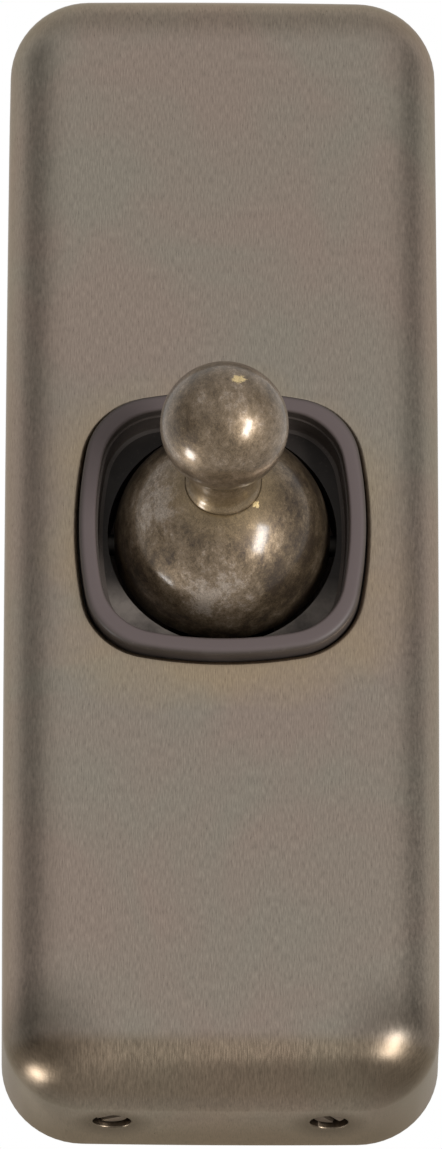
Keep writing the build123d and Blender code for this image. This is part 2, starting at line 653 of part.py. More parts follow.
def earth_strip():
    """Brass strip that earths the metal cover: a foot on the base and a sprung finger."""
    half = EARTH_HALF_WIDTH
    foot_front = -BASE_PLATE - EARTH_THICK
    top = EARTH_Z + 2 * EARTH_HALF_WIDTH + 1
    tip = COVER_INSIDE + 0.05
    foot = block(EARTH_X - half, EARTH_X + half, foot_front, -BASE_PLATE, EARTH_Z - half - 0.5, top)
    foot -= rod_y(EARTH_X, EARTH_Z, FIXING_RADIUS + 0.1, foot_front - 1, 0)
    finger = Polyline(
        (foot_front, top - EARTH_THICK),
        (tip, top + 3.0),
        (tip, top + 4.0),
        (tip + 0.4, top + 4.0),
        (tip + 0.4, top + 3.3),
        (-BASE_PLATE, top),
        (foot_front, top),
        close=True,
    )
    return foot + Pos(EARTH_X, 0, 0) * extrude(Plane.YZ * make_face(finger), half * 0.8, both=True)


def earth_screw():
    """Screw that clamps the earth wire to its strip."""
    screw = headed_screw(EARTH_HALF_WIDTH, FIXING_HEAD_HEIGHT, FIXING_RADIUS, 4 * EARTH_THICK)
    return facing_front(EARTH_X, -BASE_PLATE - EARTH_THICK, EARTH_Z) * screw


PIECES = {
    "front_cover": front_cover,
    "bezel": bezel,
    "housing_front": housing_front,
    "housing_body": housing_body,
    "housing_back": housing_back,
    "housing_rivets": housing_rivets,
    "mounting_base": mounting_base,
    "screw_inserts": screw_inserts,
    "cover_screws": cover_screws,
    "mechanism_screws": mechanism_screws,
    "pivot_pin": pivot_pin,
    "dolly_dome": dolly_dome,
    "dolly_knob": dolly_knob,
    "dolly_core": dolly_core,
    "plunger": plunger,
    "plunger_spring": plunger_spring,
    "rocker": rocker,
    "moving_contacts": moving_contacts,
    "common_terminal": common_terminal,
    "loop_terminal": lambda: terminal_barrel(-1, -1),
    "upper_terminal": lambda: fixed_terminal(1),
    "lower_terminal": lambda: fixed_terminal(-1),
    "fixed_contacts": fixed_contacts,
    "terminal_screws": terminal_screws,
    "earth_strip": earth_strip,
    "earth_screw": earth_screw,
}

os.makedirs("parts", exist_ok=True)
for name, make in PIECES.items():
    export_step(make(), f"parts/{name}.step")
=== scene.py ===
"""A narrow toggle switch for a wall: brushed brass cover, glossy surround and an aged ball-ended dolly."""
import json
from math import asin, atan2, cos, hypot, pi, radians, sin, sqrt, tan

import bmesh
import bpy
from mathutils import Matrix, Vector


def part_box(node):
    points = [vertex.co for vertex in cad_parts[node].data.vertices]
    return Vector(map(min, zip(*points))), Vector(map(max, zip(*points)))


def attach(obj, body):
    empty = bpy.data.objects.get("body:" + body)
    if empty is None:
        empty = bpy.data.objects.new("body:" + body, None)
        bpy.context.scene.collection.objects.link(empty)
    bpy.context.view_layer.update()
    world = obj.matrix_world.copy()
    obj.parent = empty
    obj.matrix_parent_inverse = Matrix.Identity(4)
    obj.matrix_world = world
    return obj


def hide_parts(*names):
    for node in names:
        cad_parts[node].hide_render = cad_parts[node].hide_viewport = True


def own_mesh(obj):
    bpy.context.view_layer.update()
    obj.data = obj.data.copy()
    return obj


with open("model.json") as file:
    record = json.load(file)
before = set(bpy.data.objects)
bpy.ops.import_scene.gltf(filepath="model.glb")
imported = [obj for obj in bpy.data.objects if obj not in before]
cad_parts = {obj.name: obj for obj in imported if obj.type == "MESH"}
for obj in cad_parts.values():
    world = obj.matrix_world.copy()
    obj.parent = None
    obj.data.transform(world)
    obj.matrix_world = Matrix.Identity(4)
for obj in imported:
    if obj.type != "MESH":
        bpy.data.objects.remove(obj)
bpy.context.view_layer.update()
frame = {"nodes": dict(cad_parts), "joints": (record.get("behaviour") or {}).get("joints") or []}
nodes_of = frame["nodes"]
joints = {joint["name"]: joint for joint in frame["joints"]}
scene = bpy.context.scene

# ---------------------------------------------------------------------------------------------
# Front cover: one hollow brass casting, drawn thin at the sides, with soft front edges and a
# rounded square hole. It is brushed up and down, darkened and lacquered, and two headless
# screws lock its bottom edge to the base.
# ---------------------------------------------------------------------------------------------
cover_low, cover_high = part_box("front_cover")
COVER_HALF_WIDTH = (cover_high[0] - cover_low[0]) / 2
COVER_HALF_HEIGHT = (cover_high[2] - cover_low[2]) / 2
COVER_DEPTH = cover_high[1] - cover_low[1]
COVER_WALL = 0.0013
COVER_FRONT_WALL = 0.0014
COVER_CORNER = 0.0056
COVER_EDGE = 0.0045
COVER_BOW = 0.00015
COVER_DRAFT = tan(radians(0.8))
REAR_EDGE = 0.0005
OPENING_EDGE = 0.0003


def bowed_outline(half_width, half_height, bow, corner, side_steps=(40, 16), corner_steps=14):
    """Points and outward directions round a rounded rectangle whose four sides bow outwards."""
    reach_z = half_height - bow
    reach_x = half_width - bow
    side_radius = (reach_z**2 + bow**2) / (2 * bow)
    end_radius = (reach_x**2 + bow**2) / (2 * bow)
    side_centre = half_width - side_radius
    end_centre = half_height - end_radius
    # The corner's centre lies at a set distance from the centres of the two arcs it joins.
    span = hypot(side_centre, end_centre)
    to_side = side_radius - corner
    to_end = end_radius - corner
    along = (to_side**2 - to_end**2 + span**2) / (2 * span)
    across = sqrt(to_side**2 - along**2)
    step = Vector((-side_centre, end_centre)) / span
    centre = Vector((side_centre, 0)) + step * along + Vector((-step.y, step.x)) * -across
    if centre.x < 0:
        centre = Vector((side_centre, 0)) + step * along + Vector((-step.y, step.x)) * across
    side_turn = atan2(centre.y, centre.x - side_centre)
    end_turn = atan2(centre.y - end_centre, centre.x)
    quarter = []
    for i in range(side_steps[0]):
        turn = side_turn * i / side_steps[0]
        out = Vector((cos(turn), sin(turn)))
        quarter.append((Vector((side_centre, 0)) + out * side_radius, out))
    for i in range(corner_steps):
        turn = side_turn + (end_turn - side_turn) * i / corner_steps
        out = Vector((cos(turn), sin(turn)))
        quarter.append((centre + out * corner, out))
    for i in range(side_steps[1] + 1):
        turn = end_turn + (pi / 2 - end_turn) * i / side_steps[1]
        out = Vector((cos(turn), sin(turn)))
        quarter.append((Vector((0, end_centre)) + out * end_radius, out))
    flip_x = Vector((-1, 1))
    mirrored = [(point * flip_x, out * flip_x) for point, out in reversed(quarter[:-1])]
    upper = quarter + mirrored
    lower = [(-point, -out) for point, out in upper[1:-1]]
    return upper + lower


def ring(outline, inset, y):
    """One loop of points: the outline moved inwards by an inset, at a depth."""
    return [Vector((point.x - inset * out.x, y, point.y - inset * out.y)) for point, out in outline]


def lofted(name, rings, closed=False):
    """A surface through loops of equally many points, facing outwards."""
    mesh = bpy.data.meshes.new(name)
    shape = bmesh.new()
    loops = [[shape.verts.new(point) for point in loop] for loop in rings]
    count = len(loops[0])
    pairs = list(zip(loops, loops[1:] + loops[:1] if closed else loops[1:]))
    for first, second in pairs:
        for i in range(count):
            j = (i + 1) % count
            shape.faces.new((first[i], first[j], second[j], second[i]))
    bmesh.ops.recalc_face_normals(shape, faces=shape.faces)
    shape.to_mesh(mesh)
    shape.free()
    mesh.shade_smooth()
    piece = bpy.data.objects.new(name, mesh)
    scene.collection.objects.link(piece)
    return piece


def quarter_round(inset, y, radius, turn_from, turn_to, steps):
    """Inset and depth along an arc of a rounded edge, centred on the given inset and depth."""
    turns = [radians(turn_from + (turn_to - turn_from) * i / steps) for i in range(steps + 1)]
    return [(inset - radius * cos(turn), y - radius * sin(turn)) for turn in turns]


cover_outline = bowed_outline(COVER_HALF_WIDTH, COVER_HALF_HEIGHT, COVER_BOW, COVER_CORNER)
bezel_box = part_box("bezel")
BEZEL_HALF_WIDTH = 0.0098
BEZEL_HALF_HEIGHT = 0.0096
BEZEL_BOW = 0.00125
BEZEL_CORNER = 0.0048
BEZEL_GAP = 0.00012
opening_outline = bowed_outline(
    BEZEL_HALF_WIDTH + BEZEL_GAP, BEZEL_HALF_HEIGHT + BEZEL_GAP, BEZEL_BOW, BEZEL_CORNER
)
edge_base = COVER_EDGE - COVER_DEPTH
edge_inset = COVER_DRAFT * -edge_base
inside_front = COVER_FRONT_WALL - COVER_DEPTH
inner_edge = COVER_EDGE - COVER_WALL
inner_base = inside_front + inner_edge
side_profile = (
    quarter_round(REAR_EDGE, -REAR_EDGE, REAR_EDGE, -90, 0, 6)
    + [(COVER_DRAFT * -edge_base * i / 6, edge_base * i / 6) for i in range(1, 6)]
    + quarter_round(edge_inset + COVER_EDGE, edge_base, COVER_EDGE, 0, 90, 24)
)
inner_profile = (
    quarter_round(COVER_WALL + inner_edge + COVER_DRAFT * -inner_base, inner_base, inner_edge, 90, 0, 8)
    + [(COVER_WALL + COVER_DRAFT * -inner_base / 2, inner_base / 2), (COVER_WALL, 0)]
)
FACE_STEPS = 14
cover_rings = [ring(cover_outline, inset, y) for inset, y in side_profile]
face_start = cover_rings[-1]
face_end = ring(opening_outline, -OPENING_EDGE, -COVER_DEPTH)
cover_rings += [
    [start.lerp(end, i / FACE_STEPS) for start, end in zip(face_start, face_end)]
    for i in range(1, FACE_STEPS + 1)
]
opening_profile = quarter_round(-OPENING_EDGE, OPENING_EDGE - COVER_DEPTH, OPENING_EDGE, 90, 180, 5)[1:]
cover_rings += [ring(opening_outline, inset, y) for inset, y in opening_profile]
cover_rings += [ring(opening_outline, 0, inside_front)]
cover_rings += [ring(cover_outline, inset, y) for inset, y in inner_profile]
cover = lofted("cover_shell", cover_rings, closed=True)


def turned(name, profile, segments):
    """A surface turned about Z from radii and heights; a radius of zero closes it in a point."""
    mesh = bpy.data.meshes.new(name)
    shape = bmesh.new()
    loops = []
    for radius, height in profile:
        if radius == 0:
            loops.append([shape.verts.new((0, 0, height))])
            continue
        turns = [2 * pi * i / segments for i in range(segments)]
        loops.append([shape.verts.new((radius * cos(turn), radius * sin(turn), height)) for turn in turns])
    for first, second in zip(loops, loops[1:]):
        for i in range(segments):
            j = (i + 1) % segments
            corners = [
                first[i % len(first)], first[j % len(first)],
                second[j % len(second)], second[i % len(second)],
            ]
            shape.faces.new(list(dict.fromkeys(corners)))
    bmesh.ops.recalc_face_normals(shape, faces=shape.faces)
    shape.to_mesh(mesh)
    shape.free()
    mesh.shade_smooth()
    piece = bpy.data.objects.new(name, mesh)
    scene.collection.objects.link(piece)
    return piece


def settle(piece, matrix):
    """Put a piece's place into its mesh, so that its object stays at the origin."""
    piece.data.transform(matrix)
    piece.data.update()


# The screw holes have a softly rounded mouth, worn by the brushing.
HOLE_RADIUS = 0.0013
COVER_SCREW_RADIUS = 0.0012
MOUTH = 0.00016
MOUTH_RISE = 0.00004
CUTTER_BOTTOM = -0.002
CUTTER_TOP = 0.003
screw_low, screw_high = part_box("cover_screws")
HOLE_X = (screw_high[0] - screw_low[0]) / 2 - COVER_SCREW_RADIUS
HOLE_Y = (screw_low[1] + screw_high[1]) / 2
mouth_profile = [(0, CUTTER_BOTTOM), (HOLE_RADIUS + MOUTH, CUTTER_BOTTOM)]
mouth_profile += [
    (HOLE_RADIUS + MOUTH - MOUTH * sin(turn), MOUTH - MOUTH * cos(turn))
    for turn in [radians(15 * i) for i in range(7)]
]
mouth_profile += [(HOLE_RADIUS, CUTTER_TOP), (0, CUTTER_TOP)]
cutters = []
for side in (-1, 1):
    cutter = turned("hole_cutter", mouth_profile, 64)
    settle(cutter, Matrix.Translation((side * HOLE_X, HOLE_Y, -COVER_HALF_HEIGHT + MOUTH_RISE)))
    cut = cover.modifiers.new("screw hole", "BOOLEAN")
    cut.object = cutter
    cut.operation = "DIFFERENCE"
    cut.solver = "EXACT"
    cutters.append(cutter)


def bake(piece):
    """Turn a piece and its modifiers into a plain mesh."""
    evaluated = piece.evaluated_get(bpy.context.evaluated_depsgraph_get())
    plain = bpy.data.meshes.new_from_object(evaluated)
    piece.modifiers.clear()
    piece.data = plain


def soft_shading(piece, angle=35):
    """Smooth shading that keeps flat faces flat and edges sharper than an angle crisp."""
    piece.data.shade_smooth()
    piece.data.set_sharp_from_angle(angle=radians(angle))
    weigh = piece.modifiers.new("even shading", "WEIGHTED_NORMAL")
    weigh.keep_sharp = True
    bake(piece)


bake(cover)
for cutter in cutters:
    bpy.data.objects.remove(cutter)
soft_shading(cover)


def mark_distance(piece, name, distance_of):
    """Store a measure of each point of a piece, which its material reads."""
    attribute = piece.data.attributes.new(name, "FLOAT", "POINT")
    attribute.data.foreach_set("value", [distance_of(vertex.co) for vertex in piece.data.vertices])


# The edge tone is partly real toning and partly painted shade, heaviest on the bottom edge.
SIDE_TONE = 0.24
TOP_TONE = 0.45
BOTTOM_TONE_AND_SHADE = 0.92


def edge_tone_and_shade(point):
    """Depth of the brown tone on the cover's soft edges, deepest round the bottom edge: partly toning, partly
    painted shade.
    """
    side = max(abs(point.x) - (COVER_HALF_WIDTH - COVER_EDGE), 0) / COVER_EDGE
    end = max(abs(point.z) - (COVER_HALF_HEIGHT - COVER_EDGE), 0) / COVER_EDGE
    front = min(max((-point.y - (COVER_DEPTH - COVER_EDGE)) / COVER_EDGE, 0), 1)
    if point.z > 0:
        return min(SIDE_TONE * min(side * 2, 1) + TOP_TONE * min(end * 3, 1), 1) * (0.3 + 0.7 * front)
    if front > 0:
        bottom = BOTTOM_TONE_AND_SHADE * min(end * 5, 1) * (0.32 + 0.68 * min(front * 2, 1))
        return min(bottom + SIDE_TONE * min(side * 2, 1) * (0.3 + 0.7 * front), 1)
    rear = min(max(1 + point.y / (COVER_DEPTH - COVER_EDGE), 0), 1)
    return min(end, 1) * (0.30 + 1.1 * rear) if end > 0.6 else 0.12 + 0.2 * rear


def bezel_nearness(point):
    """How close a point of the cover is to the rim of its hole, counting less above the hole."""
    off = (abs(point.x / BEZEL_HALF_WIDTH) ** 3 + abs(point.z / BEZEL_HALF_HEIGHT) ** 3) ** (1 / 3)
    low = min(max(0.5 - point.z / (2 * BEZEL_HALF_HEIGHT), 0), 1)
    return max(0, 1 - (off - 1) / 0.6) * (0.45 + 0.55 * low)


def corner_nearness(point):
    """How close a point is to a bottom corner of the cover's face, where the toning is thickest and painted
    shade dims the lamps' highlights.
    """
    across = COVER_HALF_WIDTH - 0.6 * COVER_EDGE - abs(point.x)
    below = point.z + COVER_HALF_HEIGHT - 0.9 * COVER_EDGE
    return max(0, 1 - (across ** 2 + below ** 2) ** 0.5 / (1.1 * COVER_EDGE))


mark_distance(cover, "edge_shade_and_tone_depth", edge_tone_and_shade)
mark_distance(cover, "near_hole", bezel_nearness)
mark_distance(cover, "corner_tone_and_shade", corner_nearness)


def arrange(tree, effects):
    """Group a material's nodes in labelled frames, one column for each effect."""
    for column, (effect, members) in enumerate(effects.items()):
        group = tree.nodes.new("NodeFrame")
        group.label = effect
        for row, node in enumerate(members):
            node.parent = group
            node.location = (300 * column, -240 * row)


def brushed_brass(name):
    """Brass brushed up and down, toned to a brown grey, warmer at its edges and round its hole."""
    material = bpy.data.materials.new(name)
    material.use_nodes = True
    tree = material.node_tree
    nodes = tree.nodes
    links = tree.links
    nodes.clear()

    place = nodes.new("ShaderNodeTexCoord")
    place.label = "Place on the cover"
    stretch = nodes.new("ShaderNodeMapping")
    stretch.label = "Draw the grain out along the height"
    stretch.inputs["Scale"].default_value = (12000, 1500, 1500)
    grain = nodes.new("ShaderNodeTexNoise")
    grain.label = "Brushed grain"
    grain.inputs["Scale"].default_value = 1
    grain.inputs["Detail"].default_value = 4
    grain.inputs["Roughness"].default_value = 0.65
    side_stretch = nodes.new("ShaderNodeMapping")
    side_stretch.label = "Grain of the side walls"
    side_stretch.inputs["Scale"].default_value = (1500, 8000, 2300)
    side_grain = nodes.new("ShaderNodeTexNoise")
    side_grain.label = "Brushed grain of the side walls"
    side_grain.inputs["Scale"].default_value = 1
    side_grain.inputs["Detail"].default_value = 4
    side_grain.inputs["Roughness"].default_value = 0.65
    facing = nodes.new("ShaderNodeNewGeometry")
    facing.label = "Which way the wall faces"
    split = nodes.new("ShaderNodeSeparateXYZ")
    split.label = "Sideways part"
    sideways = nodes.new("ShaderNodeMath")
    sideways.label = "How far it faces sideways"
    sideways.operation = "ABSOLUTE"
    grain_mix = nodes.new("ShaderNodeMix")
    grain_mix.label = "Face grain to side grain"

    clouds = nodes.new("ShaderNodeTexNoise")
    clouds.label = "Uneven toning"
    clouds.inputs["Scale"].default_value = 75
    clouds.inputs["Detail"].default_value = 3
    clouds.inputs["Distortion"].default_value = 0.6
    cloud_ramp = nodes.new("ShaderNodeValToRGB")
    cloud_ramp.label = "Grey brown to green grey"
    cloud_ramp.color_ramp.elements[0].position = 0.40
    cloud_ramp.color_ramp.elements[0].color = (0.338, 0.270, 0.222, 1)
    cloud_ramp.color_ramp.elements[1].position = 0.60
    cloud_ramp.color_ramp.elements[1].color = (0.316, 0.279, 0.228, 1)
    warm_spots = nodes.new("ShaderNodeTexNoise")
    warm_spots.label = "Warm patches"
    warm_spots.inputs["Scale"].default_value = 140
    warm_spots.inputs["Detail"].default_value = 4
    near_hole = nodes.new("ShaderNodeAttribute")
    near_hole.label = "Nearness to the hole"
    near_hole.attribute_name = "near_hole"
    warm_amount = nodes.new("ShaderNodeMath")
    warm_amount.label = "Warm patches gather round the hole"
    warm_amount.operation = "MULTIPLY"
    warm_limit = nodes.new("ShaderNodeMapRange")
    warm_limit.label = "Strength of the warm patches"
    warm_limit.inputs["From Min"].default_value = 0.15
    warm_limit.inputs["From Max"].default_value = 0.42
    warm_limit.inputs["To Max"].default_value = 0.6
    warm_colour = nodes.new("ShaderNodeMix")
    warm_colour.label = "Golden brown where the tone is thin"
    warm_colour.data_type = "RGBA"
    warm_colour.inputs["B"].default_value = (0.43, 0.325, 0.20, 1)
    edge_shade_and_tone_depth = nodes.new("ShaderNodeAttribute")
    edge_shade_and_tone_depth.label = "Nearness to the soft edges"
    edge_shade_and_tone_depth.attribute_name = "edge_shade_and_tone_depth"
    # Painted shade with toning: the soft edges are darkened, the bottom edge most.
    edge_strength = nodes.new("ShaderNodeMapRange")
    edge_strength.label = "Strength of the edge tone and painted shade"
    edge_strength.inputs["To Max"].default_value = 0.74
    edge_colour = nodes.new("ShaderNodeMix")
    edge_colour.label = "Darker brown at the edges, partly painted shade"
    edge_colour.data_type = "RGBA"
    edge_colour.inputs["B"].default_value = (0.155, 0.112, 0.068, 1)
    where = nodes.new("ShaderNodeSeparateXYZ")
    where.label = "Place by axis"
    either_side = nodes.new("ShaderNodeMath")
    either_side.label = "Either side alike"
    either_side.operation = "ABSOLUTE"
    one_side = nodes.new("ShaderNodeCombineXYZ")
    one_side.label = "Place, one side"
    to_hole = nodes.new("ShaderNodeVectorMath")
    to_hole.label = "Distance from a screw hole"
    to_hole.operation = "DISTANCE"
    to_hole.inputs[1].default_value = (HOLE_X, HOLE_Y + 0.0005, -COVER_HALF_HEIGHT)
    # Grime and painted shade: the brass darkens towards each screw hole, which also hides the glint on its
    # mouth.
    hole_grime_and_shade = nodes.new("ShaderNodeMapRange")
    hole_grime_and_shade.label = "Grime and painted shade round the hole"
    hole_grime_and_shade.inputs["From Min"].default_value = 2.3 * HOLE_RADIUS
    hole_grime_and_shade.inputs["From Max"].default_value = 1.15 * HOLE_RADIUS
    hole_grime_and_shade.inputs["To Max"].default_value = 0.9
    # Painted shade with toning: the bottom corners are darkened, which also dims the lamps' highlights there.
    corner_tone_and_shade = nodes.new("ShaderNodeAttribute")
    corner_tone_and_shade.label = "Closeness to a bottom corner"
    corner_tone_and_shade.attribute_name = "corner_tone_and_shade"
    corner_strength = nodes.new("ShaderNodeMapRange")
    corner_strength.label = "Thick toning and painted shade in the corner"
    corner_strength.inputs["From Max"].default_value = 0.7
    corner_strength.inputs["To Max"].default_value = 0.48
    corner_colour = nodes.new("ShaderNodeMix")
    corner_colour.label = "Nearly black brown corners, partly painted shade"
    corner_colour.data_type = "RGBA"
    corner_colour.inputs["B"].default_value = (0.045, 0.032, 0.020, 1)
    hole_colour = nodes.new("ShaderNodeMix")
    hole_colour.label = "Darker round the screw holes"
    hole_colour.data_type = "RGBA"
    hole_colour.inputs["B"].default_value = (0.12, 0.093, 0.066, 1)
    grain_tint = nodes.new("ShaderNodeMapRange")
    grain_tint.label = "Light and dark threads of grain"
    grain_tint.inputs["From Min"].default_value = 0.3
    grain_tint.inputs["From Max"].default_value = 0.7
    grain_tint.inputs["To Min"].default_value = 0.75
    grain_tint.inputs["To Max"].default_value = 1.25
    grain_colour = nodes.new("ShaderNodeVectorMath")
    grain_colour.label = "Tone with its grain"
    grain_colour.operation = "SCALE"

    roughness = nodes.new("ShaderNodeMapRange")
    roughness.label = "Satin, rougher in the grain"
    roughness.inputs["From Min"].default_value = 0.3
    roughness.inputs["From Max"].default_value = 0.7
    roughness.inputs["To Min"].default_value = 0.27
    roughness.inputs["To Max"].default_value = 0.38
    relief = nodes.new("ShaderNodeBump")
    relief.label = "Depth of the grain"
    relief.inputs["Strength"].default_value = 0.30
    relief.inputs["Distance"].default_value = 0.00002
    around = nodes.new("ShaderNodeTangent")
    around.label = "Gloss spreads across the grain"
    around.direction_type = "RADIAL"
    around.axis = "Z"
    metal = nodes.new("ShaderNodeBsdfPrincipled")
    metal.label = "Brushed brass"
    metal.inputs["Metallic"].default_value = 1
    metal.inputs["Coat Weight"].default_value = 0.08
    metal.inputs["Coat Roughness"].default_value = 0.28
    metal.inputs["Anisotropic"].default_value = 0.55
    metal.inputs["Specular Tint"].default_value = (0.72, 0.66, 0.57, 1)
    output = nodes.new("ShaderNodeOutputMaterial")

    links.new(place.outputs["Object"], stretch.inputs["Vector"])
    links.new(stretch.outputs["Vector"], grain.inputs["Vector"])
    links.new(place.outputs["Object"], side_stretch.inputs["Vector"])
    links.new(side_stretch.outputs["Vector"], side_grain.inputs["Vector"])
    links.new(facing.outputs["Normal"], split.inputs["Vector"])
    links.new(split.outputs["X"], sideways.inputs[0])
    links.new(sideways.outputs["Value"], grain_mix.inputs["Factor"])
    links.new(grain.outputs["Fac"], grain_mix.inputs["A"])
    links.new(side_grain.outputs["Fac"], grain_mix.inputs["B"])
    links.new(place.outputs["Object"], clouds.inputs["Vector"])
    links.new(clouds.outputs["Fac"], cloud_ramp.inputs["Fac"])
    links.new(place.outputs["Object"], warm_spots.inputs["Vector"])
    links.new(warm_spots.outputs["Fac"], warm_amount.inputs[0])
    links.new(near_hole.outputs["Fac"], warm_amount.inputs[1])
    links.new(warm_amount.outputs["Value"], warm_limit.inputs["Value"])
    links.new(warm_limit.outputs["Result"], warm_colour.inputs["Factor"])
    links.new(cloud_ramp.outputs["Color"], warm_colour.inputs["A"])
    links.new(edge_shade_and_tone_depth.outputs["Fac"], edge_strength.inputs["Value"])
    links.new(edge_strength.outputs["Result"], edge_colour.inputs["Factor"])
    links.new(warm_colour.outputs["Result"], edge_colour.inputs["A"])
    links.new(grain_mix.outputs["Result"], grain_tint.inputs["Value"])
    links.new(place.outputs["Object"], where.inputs["Vector"])
    links.new(where.outputs["X"], either_side.inputs[0])
    links.new(either_side.outputs["Value"], one_side.inputs["X"])
    links.new(where.outputs["Y"], one_side.inputs["Y"])
    links.new(where.outputs["Z"], one_side.inputs["Z"])
    links.new(one_side.outputs["Vector"], to_hole.inputs[0])
    links.new(to_hole.outputs["Value"], hole_grime_and_shade.inputs["Value"])
    links.new(hole_grime_and_shade.outputs["Result"], hole_colour.inputs["Factor"])
    links.new(corner_tone_and_shade.outputs["Fac"], corner_strength.inputs["Value"])
    links.new(corner_strength.outputs["Result"], corner_colour.inputs["Factor"])
    links.new(edge_colour.outputs["Result"], corner_colour.inputs["A"])
    links.new(corner_colour.outputs["Result"], hole_colour.inputs["A"])
    links.new(hole_colour.outputs["Result"], grain_colour.inputs["Vector"])
    links.new(grain_tint.outputs["Result"], grain_colour.inputs["Scale"])
    links.new(grain_colour.outputs["Vector"], metal.inputs["Base Color"])
    links.new(grain_mix.outputs["Result"], roughness.inputs["Value"])
    links.new(roughness.outputs["Result"], metal.inputs["Roughness"])
    links.new(grain_mix.outputs["Result"], relief.inputs["Height"])
    links.new(relief.outputs["Normal"], metal.inputs["Normal"])
    links.new(around.outputs["Tangent"], metal.inputs["Tangent"])
    links.new(metal.outputs["BSDF"], output.inputs["Surface"])
    arrange(tree, {
        "Place": [place, facing, split, sideways],
        "Grain": [stretch, grain, side_stretch, side_grain, grain_mix],
        "Toning": [clouds, cloud_ramp, warm_spots, near_hole, warm_amount, warm_limit, warm_colour],
        "Edges": [edge_shade_and_tone_depth, edge_strength, edge_colour, grain_tint, grain_colour],
        "Corners": [corner_tone_and_shade, corner_strength, corner_colour],
        "Screw holes": [where, either_side, one_side, to_hole, hole_grime_and_shade, hole_colour],
        "Surface": [roughness, relief, around],
        "Metal": [metal, output],
    })
    return material


cover.data.materials.clear()
cover.data.materials.append(brushed_brass("cover brass"))
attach(cover, "switch")
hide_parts("front_cover")

# ---------------------------------------------------------------------------------------------
# Bezel: a glossy dark moulding that stands in the cover's hole. It has a flat lip with rounded
# edges and a stepped well, and a flange behind the cover holds it against the mechanism.
# ---------------------------------------------------------------------------------------------
bezel_low, bezel_high = bezel_box
BEZEL_FRONT = bezel_low[1]
BEZEL_REAR = bezel_high[1]
BEZEL_LIP = 0.00115
BEZEL_EDGE = 0.0004
BEZEL_INNER_EDGE = 0.00022
WELL_STEP = 0.00012
WELL_STEP_Y = BEZEL_FRONT + 0.0010
FLANGE_FRONT = inside_front
FLANGE_HALF_WIDTH = 0.0104
FLANGE_HALF_HEIGHT = 0.0113
FLOOR_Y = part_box("housing_front")[0][1]
BEZEL_SKIRT = 0.00055


def bezel_ring(inset, y, detail=(24, 24)):
    """One loop round the bezel, evenly inside its outline."""
    bow = BEZEL_BOW * (1 - inset / BEZEL_HALF_WIDTH)
    outline = bowed_outline(
        BEZEL_HALF_WIDTH - inset, BEZEL_HALF_HEIGHT - inset, bow, BEZEL_CORNER - inset / 2, detail, 16
    )
    return ring(outline, 0, y)


flange = bowed_outline(FLANGE_HALF_WIDTH, FLANGE_HALF_HEIGHT, BEZEL_BOW, BEZEL_CORNER, (24, 24), 16)
outer_round = quarter_round(BEZEL_EDGE, BEZEL_FRONT + BEZEL_EDGE, BEZEL_EDGE, 0, 90, 8)
inner_round = quarter_round(
    BEZEL_LIP - BEZEL_INNER_EDGE, BEZEL_FRONT + BEZEL_INNER_EDGE, BEZEL_INNER_EDGE, 90, 180, 6
)
bezel_rings = [ring(flange, 0, BEZEL_REAR), ring(flange, 0, FLANGE_FRONT), bezel_ring(0, FLANGE_FRONT)]
bezel_rings += [bezel_ring(inset, y) for inset, y in outer_round]
bezel_rings += [bezel_ring(inset, y) for inset, y in inner_round]
bezel_rings += [
    bezel_ring(BEZEL_LIP, WELL_STEP_Y - 0.00004),
    bezel_ring(BEZEL_LIP + 0.00004, WELL_STEP_Y),
    bezel_ring(BEZEL_LIP + WELL_STEP, WELL_STEP_Y),
    bezel_ring(BEZEL_LIP + WELL_STEP, FLOOR_Y - 0.00035),
    bezel_ring(BEZEL_LIP + WELL_STEP + 0.00012, FLOOR_Y - 0.00008),
    bezel_ring(BEZEL_LIP + WELL_STEP + 0.00035, FLOOR_Y),
    bezel_ring(BEZEL_SKIRT + 0.00002, FLOOR_Y),
    bezel_ring(BEZEL_SKIRT, BEZEL_REAR),
]
bezel = lofted("bezel_ring", bezel_rings, closed=True)
soft_shading(bezel, 40)
# The flat front of the lip is marked to be painted paler than its rounded edges and well: painted light, with
# rubbing wear.
mark_distance(bezel, "rubbed", lambda point: max(0, 1 - (point.y - BEZEL_FRONT) / 0.00016))


